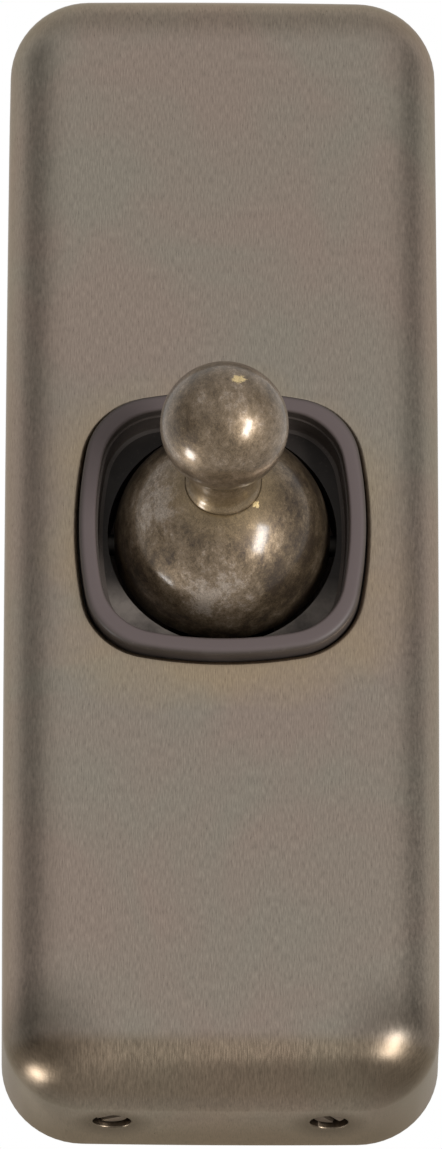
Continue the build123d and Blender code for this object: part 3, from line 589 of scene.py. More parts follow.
def phenolic(
    name, dark, light, smooth, rough, dust, scale=1.0, lit_and_rubbed_tone=(0.1, 0.09, 0.09), dust_and_light_height=1.0
):
    """Old compression-moulded plastic: clouded tone, fine orange peel, hairline scratches, dust, and painted
    light on marked faces and low parts.
    """
    material = bpy.data.materials.new(name)
    material.use_nodes = True
    tree = material.node_tree
    nodes = tree.nodes
    links = tree.links
    nodes.clear()

    place = nodes.new("ShaderNodeTexCoord")
    place.label = "Place on the moulding"
    clouds = nodes.new("ShaderNodeTexNoise")
    clouds.label = "Flow of the filler"
    clouds.inputs["Scale"].default_value = 190 * scale
    clouds.inputs["Detail"].default_value = 5
    clouds.inputs["Distortion"].default_value = 1.2
    tone = nodes.new("ShaderNodeValToRGB")
    tone.label = "Dark resin to paler filler"
    tone.color_ramp.elements[0].position = 0.38
    tone.color_ramp.elements[0].color = (*dark, 1)
    tone.color_ramp.elements[1].position = 0.72
    tone.color_ramp.elements[1].color = (*light, 1)
    specks = nodes.new("ShaderNodeTexVoronoi")
    specks.label = "Specks of filler"
    specks.inputs["Scale"].default_value = 2600 * scale
    speck_edge = nodes.new("ShaderNodeMapRange")
    speck_edge.label = "Only the middles of the specks"
    speck_edge.inputs["From Min"].default_value = 0.22
    speck_edge.inputs["From Max"].default_value = 0.1
    speck_edge.inputs["To Max"].default_value = 0.25
    speckled = nodes.new("ShaderNodeMix")
    speckled.label = "Resin with specks"
    speckled.data_type = "RGBA"
    speckled.inputs["B"].default_value = (*[2.2 * part for part in light], 1)
    dust_noise = nodes.new("ShaderNodeTexNoise")
    dust_noise.label = "Where dust has settled"
    dust_noise.inputs["Scale"].default_value = 420 * scale
    dust_noise.inputs["Detail"].default_value = 8
    dust_noise.inputs["Roughness"].default_value = 0.7
    dust_limit = nodes.new("ShaderNodeMapRange")
    dust_limit.label = "Thin dust and painted light"
    dust_limit.inputs["From Min"].default_value = 0.20
    dust_limit.inputs["From Max"].default_value = 0.62
    dust_limit.inputs["To Max"].default_value = dust
    height = nodes.new("ShaderNodeSeparateXYZ")
    height.label = "Height on the moulding"
    settled = nodes.new("ShaderNodeMapRange")
    # Dust is kept below a set height; on the well floor this paler low part is painted light.
    settled.label = "Dust and painted light lie low"
    settled.inputs["From Min"].default_value = dust_and_light_height
    settled.inputs["From Max"].default_value = dust_and_light_height - 0.002
    dust_and_light_low = nodes.new("ShaderNodeMath")
    dust_and_light_low.label = "Dust and painted light that lie low"
    dust_and_light_low.operation = "MULTIPLY"
    resin_dust_and_light = nodes.new("ShaderNodeMix")
    resin_dust_and_light.label = "Resin with dust and painted light"
    resin_dust_and_light.data_type = "RGBA"
    resin_dust_and_light.inputs["B"].default_value = (0.28, 0.24, 0.21, 1)
    # Painted light with wear: faces marked in the mesh, such as the bezel's front, are painted paler.
    rubbed = nodes.new("ShaderNodeAttribute")
    rubbed.label = "Faces painted pale: painted light and rubbing"
    rubbed.attribute_name = "rubbed"
    lit_and_rubbed_colour = nodes.new("ShaderNodeMix")
    lit_and_rubbed_colour.label = "Greyed by painted light and rubbing"
    lit_and_rubbed_colour.data_type = "RGBA"
    lit_and_rubbed_colour.inputs["B"].default_value = (*lit_and_rubbed_tone, 1)
    hairlines = nodes.new("ShaderNodeMapping")
    hairlines.label = "Draw the scratches out"
    hairlines.inputs["Rotation"].default_value = (0.3, 0.2, 0.7)
    hairlines.inputs["Scale"].default_value = (300, 9000, 9000)
    scratches = nodes.new("ShaderNodeTexNoise")
    scratches.label = "Hairline scratches"
    scratches.inputs["Scale"].default_value = 1
    scratches.inputs["Detail"].default_value = 2
    wear = nodes.new("ShaderNodeMapRange")
    wear.label = "Gloss, duller where scratched"
    wear.inputs["From Min"].default_value = 0.35
    wear.inputs["From Max"].default_value = 0.75
    wear.inputs["To Min"].default_value = smooth
    wear.inputs["To Max"].default_value = rough
    peel = nodes.new("ShaderNodeTexNoise")
    peel.label = "Orange peel of the mould"
    peel.inputs["Scale"].default_value = 900 * scale
    peel.inputs["Detail"].default_value = 3
    relief = nodes.new("ShaderNodeBump")
    relief.label = "Shallow surface waves"
    relief.inputs["Strength"].default_value = 0.25
    relief.inputs["Distance"].default_value = 0.00004
    plastic = nodes.new("ShaderNodeBsdfPrincipled")
    plastic.label = "Moulded resin"
    plastic.inputs["IOR"].default_value = 1.5
    plastic.inputs["Specular IOR Level"].default_value = 0.2
    output = nodes.new("ShaderNodeOutputMaterial")
    output.label = "Surface"

    links.new(place.outputs["Object"], clouds.inputs["Vector"])
    links.new(clouds.outputs["Fac"], tone.inputs["Fac"])
    links.new(place.outputs["Object"], specks.inputs["Vector"])
    links.new(specks.outputs["Distance"], speck_edge.inputs["Value"])
    links.new(speck_edge.outputs["Result"], speckled.inputs["Factor"])
    links.new(tone.outputs["Color"], speckled.inputs["A"])
    links.new(place.outputs["Object"], dust_noise.inputs["Vector"])
    links.new(dust_noise.outputs["Fac"], dust_limit.inputs["Value"])
    links.new(place.outputs["Object"], height.inputs["Vector"])
    links.new(height.outputs["Z"], settled.inputs["Value"])
    links.new(dust_limit.outputs["Result"], dust_and_light_low.inputs[0])
    links.new(settled.outputs["Result"], dust_and_light_low.inputs[1])
    links.new(dust_and_light_low.outputs["Value"], resin_dust_and_light.inputs["Factor"])
    links.new(speckled.outputs["Result"], resin_dust_and_light.inputs["A"])
    links.new(rubbed.outputs["Fac"], lit_and_rubbed_colour.inputs["Factor"])
    links.new(resin_dust_and_light.outputs["Result"], lit_and_rubbed_colour.inputs["A"])
    links.new(lit_and_rubbed_colour.outputs["Result"], plastic.inputs["Base Color"])
    links.new(place.outputs["Object"], hairlines.inputs["Vector"])
    links.new(hairlines.outputs["Vector"], scratches.inputs["Vector"])
    links.new(scratches.outputs["Fac"], wear.inputs["Value"])
    links.new(wear.outputs["Result"], plastic.inputs["Roughness"])
    links.new(place.outputs["Object"], peel.inputs["Vector"])
    links.new(peel.outputs["Fac"], relief.inputs["Height"])
    links.new(relief.outputs["Normal"], plastic.inputs["Normal"])
    links.new(plastic.outputs["BSDF"], output.inputs["Surface"])
    arrange(tree, {
        "Place": [place],
        "Resin": [clouds, tone, specks, speck_edge, speckled],
        "Dust": [dust_noise, dust_limit, height, settled, dust_and_light_low, resin_dust_and_light],
        "Painted light on rubbed faces": [rubbed, lit_and_rubbed_colour],
        "Wear": [hairlines, scratches, wear, peel, relief],
        "Plastic": [plastic, output],
    })
    return material


bezel_material = phenolic(
    "bezel resin", (0.045, 0.036, 0.031), (0.062, 0.050, 0.044), 0.40, 0.47, 0.04, 1.0, (0.102, 0.080, 0.078)
)
bezel.data.materials.clear()
bezel.data.materials.append(bezel_material)
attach(bezel, "switch")
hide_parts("bezel")

# ---------------------------------------------------------------------------------------------
# Dome: a thin spun brass half ball that closes the well's round hole, with a short skirt and a
# countersunk seat for the knob. Years of fingers have worn its dark toning into patches.
# ---------------------------------------------------------------------------------------------
DOLLY_TILT = radians(11)
pivot = Vector(joints["dolly_toggle"]["pos_m"])
dolly_axis = Vector((0, -cos(DOLLY_TILT), sin(DOLLY_TILT)))
dolly_place = Matrix.Translation(pivot) @ Matrix((
    (1, 0, 0, 0),
    (0, sin(DOLLY_TILT), dolly_axis.y, 0),
    (0, cos(DOLLY_TILT), dolly_axis.z, 0),
    (0, 0, 0, 1),
))
DOME_OFFSET = 0.00132
DOME_RADIUS = 0.0074
DOME_WALL = 0.0009
DOME_SKIRT = 0.0015
SEAT_RADIUS = 0.00261
SEAT_DEPTH = 0.00025
STUD_RADIUS = 0.0013
SEAT_EDGE = 0.00005


def arc(centre, radius, turn_from, turn_to, steps):
    """Radii and heights along an arc about a centre on the axis, turns in degrees from the axis."""
    turns = [radians(turn_from + (turn_to - turn_from) * i / steps) for i in range(steps + 1)]
    return [(radius * sin(turn), centre + radius * cos(turn)) for turn in turns]


seat_turn = asin(SEAT_RADIUS / DOME_RADIUS)
seat_height = DOME_OFFSET + DOME_RADIUS * cos(seat_turn)
inner_radius = DOME_RADIUS - DOME_WALL
inner_turn = asin(STUD_RADIUS / inner_radius)
skirt_end = DOME_OFFSET - DOME_SKIRT
skirt_edge = 0.00012
mouth_turn = seat_turn + SEAT_EDGE / DOME_RADIUS
dome_profile = (
    [(inner_radius, skirt_end), (DOME_RADIUS - skirt_edge, skirt_end)]
    + [(DOME_RADIUS - 0.3 * skirt_edge, skirt_end + 0.3 * skirt_edge), (DOME_RADIUS, skirt_end + skirt_edge)]
    + [(DOME_RADIUS, DOME_OFFSET - 0.4 * DOME_SKIRT)]
    + arc(DOME_OFFSET, DOME_RADIUS, 90, mouth_turn * 180 / pi, 64)
    + [(SEAT_RADIUS + 0.3 * SEAT_EDGE, seat_height - 0.3 * SEAT_EDGE), (SEAT_RADIUS, seat_height - SEAT_EDGE)]
    + [(SEAT_RADIUS, seat_height - SEAT_DEPTH), (STUD_RADIUS, seat_height - SEAT_DEPTH)]
    + arc(DOME_OFFSET, inner_radius, inner_turn * 180 / pi, 90, 20)
    + [(inner_radius, skirt_end)]
)
dome = turned("dome_shell", dome_profile, 160)
seam = bmesh.new()
seam.from_mesh(dome.data)
bmesh.ops.remove_doubles(seam, verts=seam.verts, dist=1e-7)
bmesh.ops.recalc_face_normals(seam, faces=seam.faces)
seam.to_mesh(dome.data)
seam.free()
settle(dome, dolly_place)
soft_shading(dome, 35)


def worn_brass(
    name, patches, patchy, speck_scale, warm_centre, warm_reach,
    chip_centre, chip_radius, pale_one, pale_two, pale,
):
    """Aged brass: grey tarnish, dark brown patches and warmer metal round the neck."""
    material = bpy.data.materials.new(name)
    material.use_nodes = True
    tree = material.node_tree
    nodes = tree.nodes
    links = tree.links
    nodes.clear()

    place = nodes.new("ShaderNodeTexCoord")
    place.label = "Place on the brass"
    smear = nodes.new("ShaderNodeMapping")
    smear.label = "Turn the smears"
    smear.inputs["Location"].default_value = patches
    smear.inputs["Rotation"].default_value = (0.2, 0.6, 0.35)
    smear.inputs["Scale"].default_value = (1, 1, 0.75)
    tarnish = nodes.new("ShaderNodeTexNoise")
    tarnish.label = "Tarnish patches"
    tarnish.inputs["Scale"].default_value = 560
    tarnish.inputs["Detail"].default_value = 9
    tarnish.inputs["Roughness"].default_value = 0.82
    tarnish.inputs["Distortion"].default_value = 0.12
    contrast = nodes.new("ShaderNodeMapRange")
    contrast.label = "How patchy the tarnish is"
    contrast.clamp = False
    contrast.inputs["To Min"].default_value = 0.5 - 0.5 * patchy
    contrast.inputs["To Max"].default_value = 0.5 + 0.5 * patchy
    tone = nodes.new("ShaderNodeValToRGB")
    tone.label = "Dark brown, warm brown, silver grey"
    tone.color_ramp.elements[0].position = 0.36
    tone.color_ramp.elements[0].color = (0.055, 0.037, 0.023, 1)
    tone.color_ramp.elements[1].position = 0.66
    tone.color_ramp.elements[1].color = (0.37, 0.305, 0.245, 1)
    middle = tone.color_ramp.elements.new(0.47)
    middle.color = (0.130, 0.091, 0.053, 1)
    upper = tone.color_ramp.elements.new(0.56)
    upper.color = (0.215, 0.158, 0.104, 1)
    first_pale = nodes.new("ShaderNodeVectorMath")
    first_pale.label = "Distance from the first pale patch"
    first_pale.operation = "DISTANCE"
    first_pale.inputs[1].default_value = pale_one
    second_pale = nodes.new("ShaderNodeVectorMath")
    second_pale.label = "Distance from the second pale patch"
    second_pale.operation = "DISTANCE"
    second_pale.inputs[1].default_value = pale_two
    nearest_pale = nodes.new("ShaderNodeMath")
    nearest_pale.label = "Nearest pale patch"
    nearest_pale.operation = "MINIMUM"
    pale_shift = nodes.new("ShaderNodeMapRange")
    pale_shift.label = "Paler in the patches, darker between"
    pale_shift.inputs["From Min"].default_value = 0.0008
    pale_shift.inputs["From Max"].default_value = 0.0042
    pale_shift.inputs["To Min"].default_value = pale
    pale_shift.inputs["To Max"].default_value = -0.55 * pale
    pale_tarnish = nodes.new("ShaderNodeMath")
    pale_tarnish.label = "Tarnish with its patches"
    pale_tarnish.operation = "ADD"
    near_seam = nodes.new("ShaderNodeVectorMath")
    near_seam.label = "Distance from the warm part"
    near_seam.operation = "DISTANCE"
    near_seam.inputs[1].default_value = warm_centre
    warm_fade = nodes.new("ShaderNodeMapRange")
    warm_fade.label = "Warm part fades out"
    warm_fade.inputs["From Min"].default_value = warm_reach
    warm_fade.inputs["From Max"].default_value = warm_reach * 0.55
    warm_fade.inputs["To Max"].default_value = 0.65
    warmed = nodes.new("ShaderNodeMix")
    warmed.label = "Golden brown near the seam"
    warmed.data_type = "RGBA"
    warmed.inputs["B"].default_value = (0.235, 0.165, 0.080, 1)
    specks = nodes.new("ShaderNodeTexNoise")
    specks.label = "Pinholes in the tarnish"
    specks.inputs["Scale"].default_value = speck_scale
    specks.inputs["Detail"].default_value = 5
    specks.inputs["Roughness"].default_value = 0.7
    chip = nodes.new("ShaderNodeVectorMath")
    chip.label = "Distance from the bright gold spot"
    chip.operation = "DISTANCE"
    chip.inputs[1].default_value = chip_centre
    chip_size = nodes.new("ShaderNodeMapRange")
    chip_size.label = "Size of the chip"
    chip_size.inputs["From Min"].default_value = chip_radius * 1.6
    chip_size.inputs["From Max"].default_value = chip_radius * 0.4
    chip_size.inputs["To Max"].default_value = 0.34
    opened = nodes.new("ShaderNodeMath")
    opened.label = "Tarnish open at the chip and pinholes"
    opened.operation = "ADD"
    gold_limit = nodes.new("ShaderNodeMapRange")
    gold_limit.label = "Bare gold brass"
    gold_limit.inputs["From Min"].default_value = 0.70
    gold_limit.inputs["From Max"].default_value = 0.76
    gold_limit.inputs["To Max"].default_value = 0.85
    gold = nodes.new("ShaderNodeMix")
    gold.label = "Brass showing through"
    gold.data_type = "RGBA"
    gold.inputs["B"].default_value = (0.74, 0.56, 0.27, 1)

    swirl_turn = nodes.new("ShaderNodeMapping")
    swirl_turn.label = "Swirl direction"
    swirl_turn.inputs["Rotation"].default_value = (0.5, 0.9, 0.2)
    swirl_turn.inputs["Scale"].default_value = (8500, 6500, 6500)
    swirls = nodes.new("ShaderNodeTexNoise")
    swirls.label = "Polishing swirls"
    swirls.inputs["Scale"].default_value = 1
    swirls.inputs["Detail"].default_value = 3
    swirls.inputs["Distortion"].default_value = 1.2
    swirl_tint = nodes.new("ShaderNodeMapRange")
    swirl_tint.label = "Light and dark swirls"
    swirl_tint.inputs["From Min"].default_value = 0.3
    swirl_tint.inputs["From Max"].default_value = 0.7
    swirl_tint.inputs["To Min"].default_value = 0.68
    swirl_tint.inputs["To Max"].default_value = 1.32
    swirled = nodes.new("ShaderNodeVectorMath")
    swirled.label = "Tone with swirls"
    swirled.operation = "SCALE"
    shine = nodes.new("ShaderNodeMapRange")
    shine.label = "Dull tarnish to worn shine"
    shine.inputs["From Min"].default_value = 0.35
    shine.inputs["From Max"].default_value = 0.70
    shine.inputs["To Min"].default_value = 0.48
    shine.inputs["To Max"].default_value = 0.36
    relief = nodes.new("ShaderNodeBump")
    relief.label = "Swirl depth"
    relief.inputs["Strength"].default_value = 0.25
    relief.inputs["Distance"].default_value = 0.00002
    dents = nodes.new("ShaderNodeTexNoise")
    dents.label = "Slight dents"
    dents.inputs["Scale"].default_value = 330
    dents.inputs["Detail"].default_value = 2
    dent_relief = nodes.new("ShaderNodeBump")
    dent_relief.label = "Dent depth"
    dent_relief.inputs["Strength"].default_value = 0.25
    dent_relief.inputs["Distance"].default_value = 0.00008
    metal = nodes.new("ShaderNodeBsdfPrincipled")
    metal.label = "Aged brass"
    metal.inputs["Metallic"].default_value = 0.74
    metal.inputs["Coat Weight"].default_value = 0.55
    metal.inputs["Coat Roughness"].default_value = 0.16
    output = nodes.new("ShaderNodeOutputMaterial")
    output.label = "Surface"

    links.new(place.outputs["Object"], smear.inputs["Vector"])
    links.new(smear.outputs["Vector"], tarnish.inputs["Vector"])
    links.new(place.outputs["Object"], first_pale.inputs[0])
    links.new(place.outputs["Object"], second_pale.inputs[0])
    links.new(first_pale.outputs["Value"], nearest_pale.inputs[0])
    links.new(second_pale.outputs["Value"], nearest_pale.inputs[1])
    links.new(nearest_pale.outputs["Value"], pale_shift.inputs["Value"])
    links.new(tarnish.outputs["Fac"], contrast.inputs["Value"])
    links.new(contrast.outputs["Result"], pale_tarnish.inputs[0])
    links.new(pale_shift.outputs["Result"], pale_tarnish.inputs[1])
    links.new(pale_tarnish.outputs["Value"], tone.inputs["Fac"])
    links.new(place.outputs["Object"], near_seam.inputs[0])
    links.new(near_seam.outputs["Value"], warm_fade.inputs["Value"])
    links.new(warm_fade.outputs["Result"], warmed.inputs["Factor"])
    links.new(tone.outputs["Color"], warmed.inputs["A"])
    links.new(place.outputs["Object"], specks.inputs["Vector"])
    links.new(place.outputs["Object"], chip.inputs[0])
    links.new(chip.outputs["Value"], chip_size.inputs["Value"])
    links.new(chip_size.outputs["Result"], opened.inputs[0])
    links.new(specks.outputs["Fac"], opened.inputs[1])
    links.new(opened.outputs["Value"], gold_limit.inputs["Value"])
    links.new(gold_limit.outputs["Result"], gold.inputs["Factor"])
    links.new(warmed.outputs["Result"], gold.inputs["A"])
    links.new(place.outputs["Object"], swirl_turn.inputs["Vector"])
    links.new(swirl_turn.outputs["Vector"], swirls.inputs["Vector"])
    links.new(swirls.outputs["Fac"], swirl_tint.inputs["Value"])
    links.new(gold.outputs["Result"], swirled.inputs["Vector"])
    links.new(swirl_tint.outputs["Result"], swirled.inputs["Scale"])
    links.new(swirled.outputs["Vector"], metal.inputs["Base Color"])
    links.new(tarnish.outputs["Fac"], shine.inputs["Value"])
    links.new(shine.outputs["Result"], metal.inputs["Roughness"])
    links.new(swirls.outputs["Fac"], relief.inputs["Height"])
    links.new(place.outputs["Object"], dents.inputs["Vector"])
    links.new(dents.outputs["Fac"], dent_relief.inputs["Height"])
    links.new(dent_relief.outputs["Normal"], relief.inputs["Normal"])
    links.new(relief.outputs["Normal"], metal.inputs["Normal"])
    links.new(metal.outputs["BSDF"], output.inputs["Surface"])
    arrange(tree, {
        "Place": [place],
        "Tarnish": [smear, tarnish, contrast, pale_tarnish, tone],
        "Pale patches": [first_pale, second_pale, nearest_pale, pale_shift],
        "Warm part": [near_seam, warm_fade, warmed],
        "Bare brass": [specks, chip, chip_size, opened, gold_limit, gold],
        "Swirls": [swirl_turn, swirls, swirl_tint, swirled, relief],
        "Shine": [shine, dents, dent_relief],
        "Metal": [metal, output],
    })
    return material


neck_base = dolly_place @ Vector((0, 0, seat_height))
dome_centre = dolly_place @ Vector((0, 0, DOME_OFFSET))
pale_left = dome_centre + Vector((-0.674, -0.738, 0.019)) * DOME_RADIUS
pale_low = dome_centre + Vector((-0.087, -0.586, -0.805)) * DOME_RADIUS
chip_seam = dolly_place @ Vector((0.0022, -0.0017, seat_height))
dome.data.materials.clear()
dome.data.materials.append(worn_brass(
    "dome brass", patches=(0.0021, 0.0, 0.0013), patchy=1.05, speck_scale=1800,
    warm_centre=neck_base, warm_reach=0.0046, chip_centre=chip_seam, chip_radius=0.0003,
    pale_one=pale_left, pale_two=pale_low, pale=0.125,
))
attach(dome, "dolly")
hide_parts("dolly_dome")

# ---------------------------------------------------------------------------------------------
# Knob: a ball on a waisted neck, turned from one brass bar and screwed through the dome into the
# core. A thin collar sits in the dome's seat, and near the top of the ball is a bright gold spot.
# ---------------------------------------------------------------------------------------------
BALL_RADIUS = 0.00435
BALL_HEIGHT = DOME_OFFSET + 0.0142
NECK_RADIUS = 0.00226
NECK_RISE = 0.0017
COLLAR_RADIUS = 0.00259
COLLAR_RISE = 0.00045
STUD_END = 0.0029
COLLAR_EDGE = 0.00016

knob_base = seat_height - SEAT_DEPTH
join_turn = asin((NECK_RADIUS + 0.0003) / BALL_RADIUS)
join_height = BALL_HEIGHT - BALL_RADIUS * cos(join_turn)


def waist(start, start_slope, end, end_slope, steps):
    """Radii and heights along a smooth curve between two points with set slopes."""
    rise = end[1] - start[1]
    points = []
    for i in range(1, steps + 1):
        t = i / steps
        radius = (
            (2 * t**3 - 3 * t**2 + 1) * start[0]
            + (t**3 - 2 * t**2 + t) * start_slope * rise
            + (3 * t**2 - 2 * t**3) * end[0]
            + (t**3 - t**2) * end_slope * rise
        )
        points.append((radius, start[1] + t * rise))
    return points


collar_top = (COLLAR_RADIUS - 0.4 * COLLAR_EDGE, knob_base + COLLAR_RISE)
neck_point = (NECK_RADIUS, knob_base + NECK_RISE)
join_point = (BALL_RADIUS * sin(join_turn), join_height)
knob_profile = (
    [(0, STUD_END), (STUD_RADIUS - 0.00025, STUD_END), (STUD_RADIUS - 0.00005, STUD_END + 0.0002)]
    + [(STUD_RADIUS - 0.00005, knob_base), (COLLAR_RADIUS, knob_base)]
    + [(COLLAR_RADIUS, knob_base + COLLAR_RISE - COLLAR_EDGE), collar_top]
    + waist(collar_top, -0.6, neck_point, 0, 10)
    + waist(neck_point, 0, join_point, 0.75, 16)
    + arc(BALL_HEIGHT, BALL_RADIUS, 180 - join_turn * 180 / pi, 0, 64)[1:-1]
    + [(0, BALL_HEIGHT + BALL_RADIUS)]
)
knob = turned("knob_ball", knob_profile, 128)
settle(knob, dolly_place)
soft_shading(knob, 35)
ball_centre = dolly_place @ Vector((0, 0, BALL_HEIGHT))
gold_spot_top = ball_centre + Vector((0.206, -0.876, 0.437)) * BALL_RADIUS
pale_front = ball_centre + Vector((-0.12, -0.97, 0.19)) * BALL_RADIUS
pale_side = ball_centre + Vector((0.86, -0.40, -0.30)) * BALL_RADIUS
knob.data.materials.clear()
knob.data.materials.append(worn_brass(
    "knob brass", patches=(0.0, 0.004, 0.0), patchy=0.80, speck_scale=1900,
    warm_centre=neck_base, warm_reach=0.0036, chip_centre=gold_spot_top, chip_radius=0.00045,
    pale_one=pale_front, pale_two=pale_side, pale=0.03,
))
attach(knob, "dolly")
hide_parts("dolly_knob")

# ---------------------------------------------------------------------------------------------
# Mechanism: a front moulding that makes the floor of the well and carries the pin, a box of
# brown resin behind it with its back plate, and four rivets that hold the three together.
# ---------------------------------------------------------------------------------------------
# The well floor is dark resin; its pale dust, kept to the lower part, is painted light where the lower
# corners are lit.
floor_material = phenolic(
    "floor resin", (0.018, 0.014, 0.012), (0.028, 0.023, 0.019), 0.45, 0.55, 0.46, dust_and_light_height=-0.0030
)
housing_material = phenolic("housing resin", (0.040, 0.024, 0.016), (0.085, 0.050, 0.032), 0.30, 0.50, 0.30)
core_material = phenolic("core resin", (0.016, 0.014, 0.013), (0.030, 0.026, 0.024), 0.30, 0.45, 0.12)


def finish_node(node, material):
    """Give a piece that keeps its drawn shape its own finish."""
    piece = nodes_of[node]
    piece.data.materials.clear()
    piece.data.materials.append(material)


finish_node("housing_front", floor_material)
finish_node("housing_body", housing_material)
finish_node("housing_back", housing_material)
finish_node("dolly_core", core_material)
finish_node("plunger", core_material)


def turned_metal(name, tone, dull, smooth, rough, axis):
    """Plain turned or stamped metal: tool marks round one axis, faint stains and dull spots."""
    material = bpy.data.materials.new(name)
    material.use_nodes = True
    tree = material.node_tree
    nodes = tree.nodes
    links = tree.links
    nodes.clear()

    place = nodes.new("ShaderNodeTexCoord")
    place.label = "Place on the metal"
    stains = nodes.new("ShaderNodeTexNoise")
    stains.label = "Faint stains"
    stains.inputs["Scale"].default_value = 380
    stains.inputs["Detail"].default_value = 6
    stains.inputs["Distortion"].default_value = 0.7
    tint = nodes.new("ShaderNodeValToRGB")
    tint.label = "Dull to clean metal"
    tint.color_ramp.elements[0].position = 0.36
    tint.color_ramp.elements[0].color = (*dull, 1)
    tint.color_ramp.elements[1].position = 0.64
    tint.color_ramp.elements[1].color = (*tone, 1)
    along = nodes.new("ShaderNodeMapping")
    along.label = "Tool marks across the axis"
    along.inputs["Scale"].default_value = [9000 if part else 700 for part in axis]
    marks = nodes.new("ShaderNodeTexNoise")
    marks.label = "Tool marks"
    marks.inputs["Scale"].default_value = 1
    marks.inputs["Detail"].default_value = 3
    mark_tint = nodes.new("ShaderNodeMapRange")
    mark_tint.label = "Light and dark marks"
    mark_tint.inputs["From Min"].default_value = 0.3
    mark_tint.inputs["From Max"].default_value = 0.7
    mark_tint.inputs["To Min"].default_value = 0.85
    mark_tint.inputs["To Max"].default_value = 1.12
    marked = nodes.new("ShaderNodeVectorMath")
    marked.label = "Metal with marks"
    marked.operation = "SCALE"
    gloss = nodes.new("ShaderNodeMapRange")
    gloss.label = "Shine, duller in the stains"
    gloss.inputs["From Min"].default_value = 0.35
    gloss.inputs["From Max"].default_value = 0.65
    gloss.inputs["To Min"].default_value = rough
    gloss.inputs["To Max"].default_value = smooth
    relief = nodes.new("ShaderNodeBump")
    relief.label = "Mark depth"
    relief.inputs["Strength"].default_value = 0.3
    relief.inputs["Distance"].default_value = 0.00002
    metal = nodes.new("ShaderNodeBsdfPrincipled")
    metal.label = "Metal"
    metal.inputs["Metallic"].default_value = 1
    output = nodes.new("ShaderNodeOutputMaterial")
    output.label = "Surface"

    links.new(place.outputs["Object"], stains.inputs["Vector"])
    links.new(stains.outputs["Fac"], tint.inputs["Fac"])
    links.new(place.outputs["Object"], along.inputs["Vector"])
    links.new(along.outputs["Vector"], marks.inputs["Vector"])
    links.new(marks.outputs["Fac"], mark_tint.inputs["Value"])
    links.new(tint.outputs["Color"], marked.inputs["Vector"])
    links.new(mark_tint.outputs["Result"], marked.inputs["Scale"])
    links.new(marked.outputs["Vector"], metal.inputs["Base Color"])
    links.new(stains.outputs["Fac"], gloss.inputs["Value"])
    links.new(gloss.outputs["Result"], metal.inputs["Roughness"])
    links.new(marks.outputs["Fac"], relief.inputs["Height"])
    links.new(relief.outputs["Normal"], metal.inputs["Normal"])
    links.new(metal.outputs["BSDF"], output.inputs["Surface"])
    arrange(tree, {
        "Place": [place],
        "Stains": [stains, tint],
        "Tool marks": [along, marks, mark_tint, marked, relief],
        "Shine": [gloss],
        "Metal": [metal, output],
    })
    return material


# The rivets: a shank through all three mouldings and a low domed head at each end.
RIVET_X = 0.00915
RIVET_Z = 0.0070
RIVET_SHANK = 0.0006
RIVET_HEAD = 0.0010
RIVET_DOME = 0.0005
rivet_low, rivet_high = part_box("housing_rivets")
rivet_length = rivet_high[1] - rivet_low[1]
rivet_brass = turned_metal("rivet brass", (0.62, 0.44, 0.20), (0.30, 0.20, 0.10), 0.24, 0.42, (0, 1, 0))

rivet_tree = bpy.data.node_groups.new("riveting", "GeometryNodeTree")
rivet_sizes = {
    "Shank radius": RIVET_SHANK,
    "Head radius": RIVET_HEAD,
    "Head rise": RIVET_DOME,
    "Length": rivet_length,
}
rivet_tree.interface.new_socket("Geometry", in_out="INPUT", socket_type="NodeSocketGeometry")
for label in rivet_sizes:
    rivet_tree.interface.new_socket(label, in_out="INPUT", socket_type="NodeSocketFloat")
rivet_tree.interface.new_socket("Finish", in_out="INPUT", socket_type="NodeSocketMaterial")
rivet_tree.interface.new_socket("Geometry", in_out="OUTPUT", socket_type="NodeSocketGeometry")
nodes = rivet_tree.nodes
links = rivet_tree.links
places = nodes.new("NodeGroupInput")
places.label = "Rivet places and sizes"
shank = nodes.new("GeometryNodeMeshCylinder")
shank.label = "Shank"
shank.inputs["Vertices"].default_value = 20
head = nodes.new("GeometryNodeMeshUVSphere")
head.label = "Head before flattening"
head.inputs["Segments"].default_value = 32
head.inputs["Rings"].default_value = 16
head.inputs["Radius"].default_value = 1
head_size = nodes.new("ShaderNodeCombineXYZ")
head_size.label = "Low dome"
half = nodes.new("ShaderNodeMath")
half.label = "Half the length"
half.operation = "MULTIPLY_ADD"
half.inputs[1].default_value = 0.5
drop = nodes.new("ShaderNodeMath")
drop.label = "Head rise, taken off"
drop.operation = "MULTIPLY"
drop.inputs[1].default_value = -1
outwards = nodes.new("ShaderNodeCombineXYZ")
outwards.label = "Rear end"
inwards = nodes.new("ShaderNodeCombineXYZ")
inwards.label = "Front end"
other_way = nodes.new("ShaderNodeMath")
other_way.label = "The other way"
other_way.operation = "MULTIPLY"
other_way.inputs[1].default_value = -1
rear_head = nodes.new("GeometryNodeTransform")
rear_head.label = "Rear head"
front_head = nodes.new("GeometryNodeTransform")
front_head.label = "Front head"
short_shank = nodes.new("ShaderNodeMath")
short_shank.label = "Shank stops inside the heads"
short_shank.operation = "SUBTRACT"
whole = nodes.new("GeometryNodeJoinGeometry")
whole.label = "One rivet"
set_rivets = nodes.new("GeometryNodeInstanceOnPoints")
set_rivets.label = "A rivet at each place"
set_rivets.inputs["Rotation"].default_value = (pi / 2, 0, 0)
real = nodes.new("GeometryNodeRealizeInstances")
real.label = "Real mesh"
smooth = nodes.new("GeometryNodeSetShadeSmooth")
smooth.label = "Smooth heads"
finish = nodes.new("GeometryNodeSetMaterial")
finish.label = "Brass"
result = nodes.new("NodeGroupOutput")
result.label = "Rivets"
links.new(places.outputs["Shank radius"], shank.inputs["Radius"])
links.new(places.outputs["Length"], short_shank.inputs[0])
links.new(places.outputs["Head rise"], short_shank.inputs[1])
links.new(short_shank.outputs["Value"], shank.inputs["Depth"])
links.new(places.outputs["Head radius"], head_size.inputs["X"])
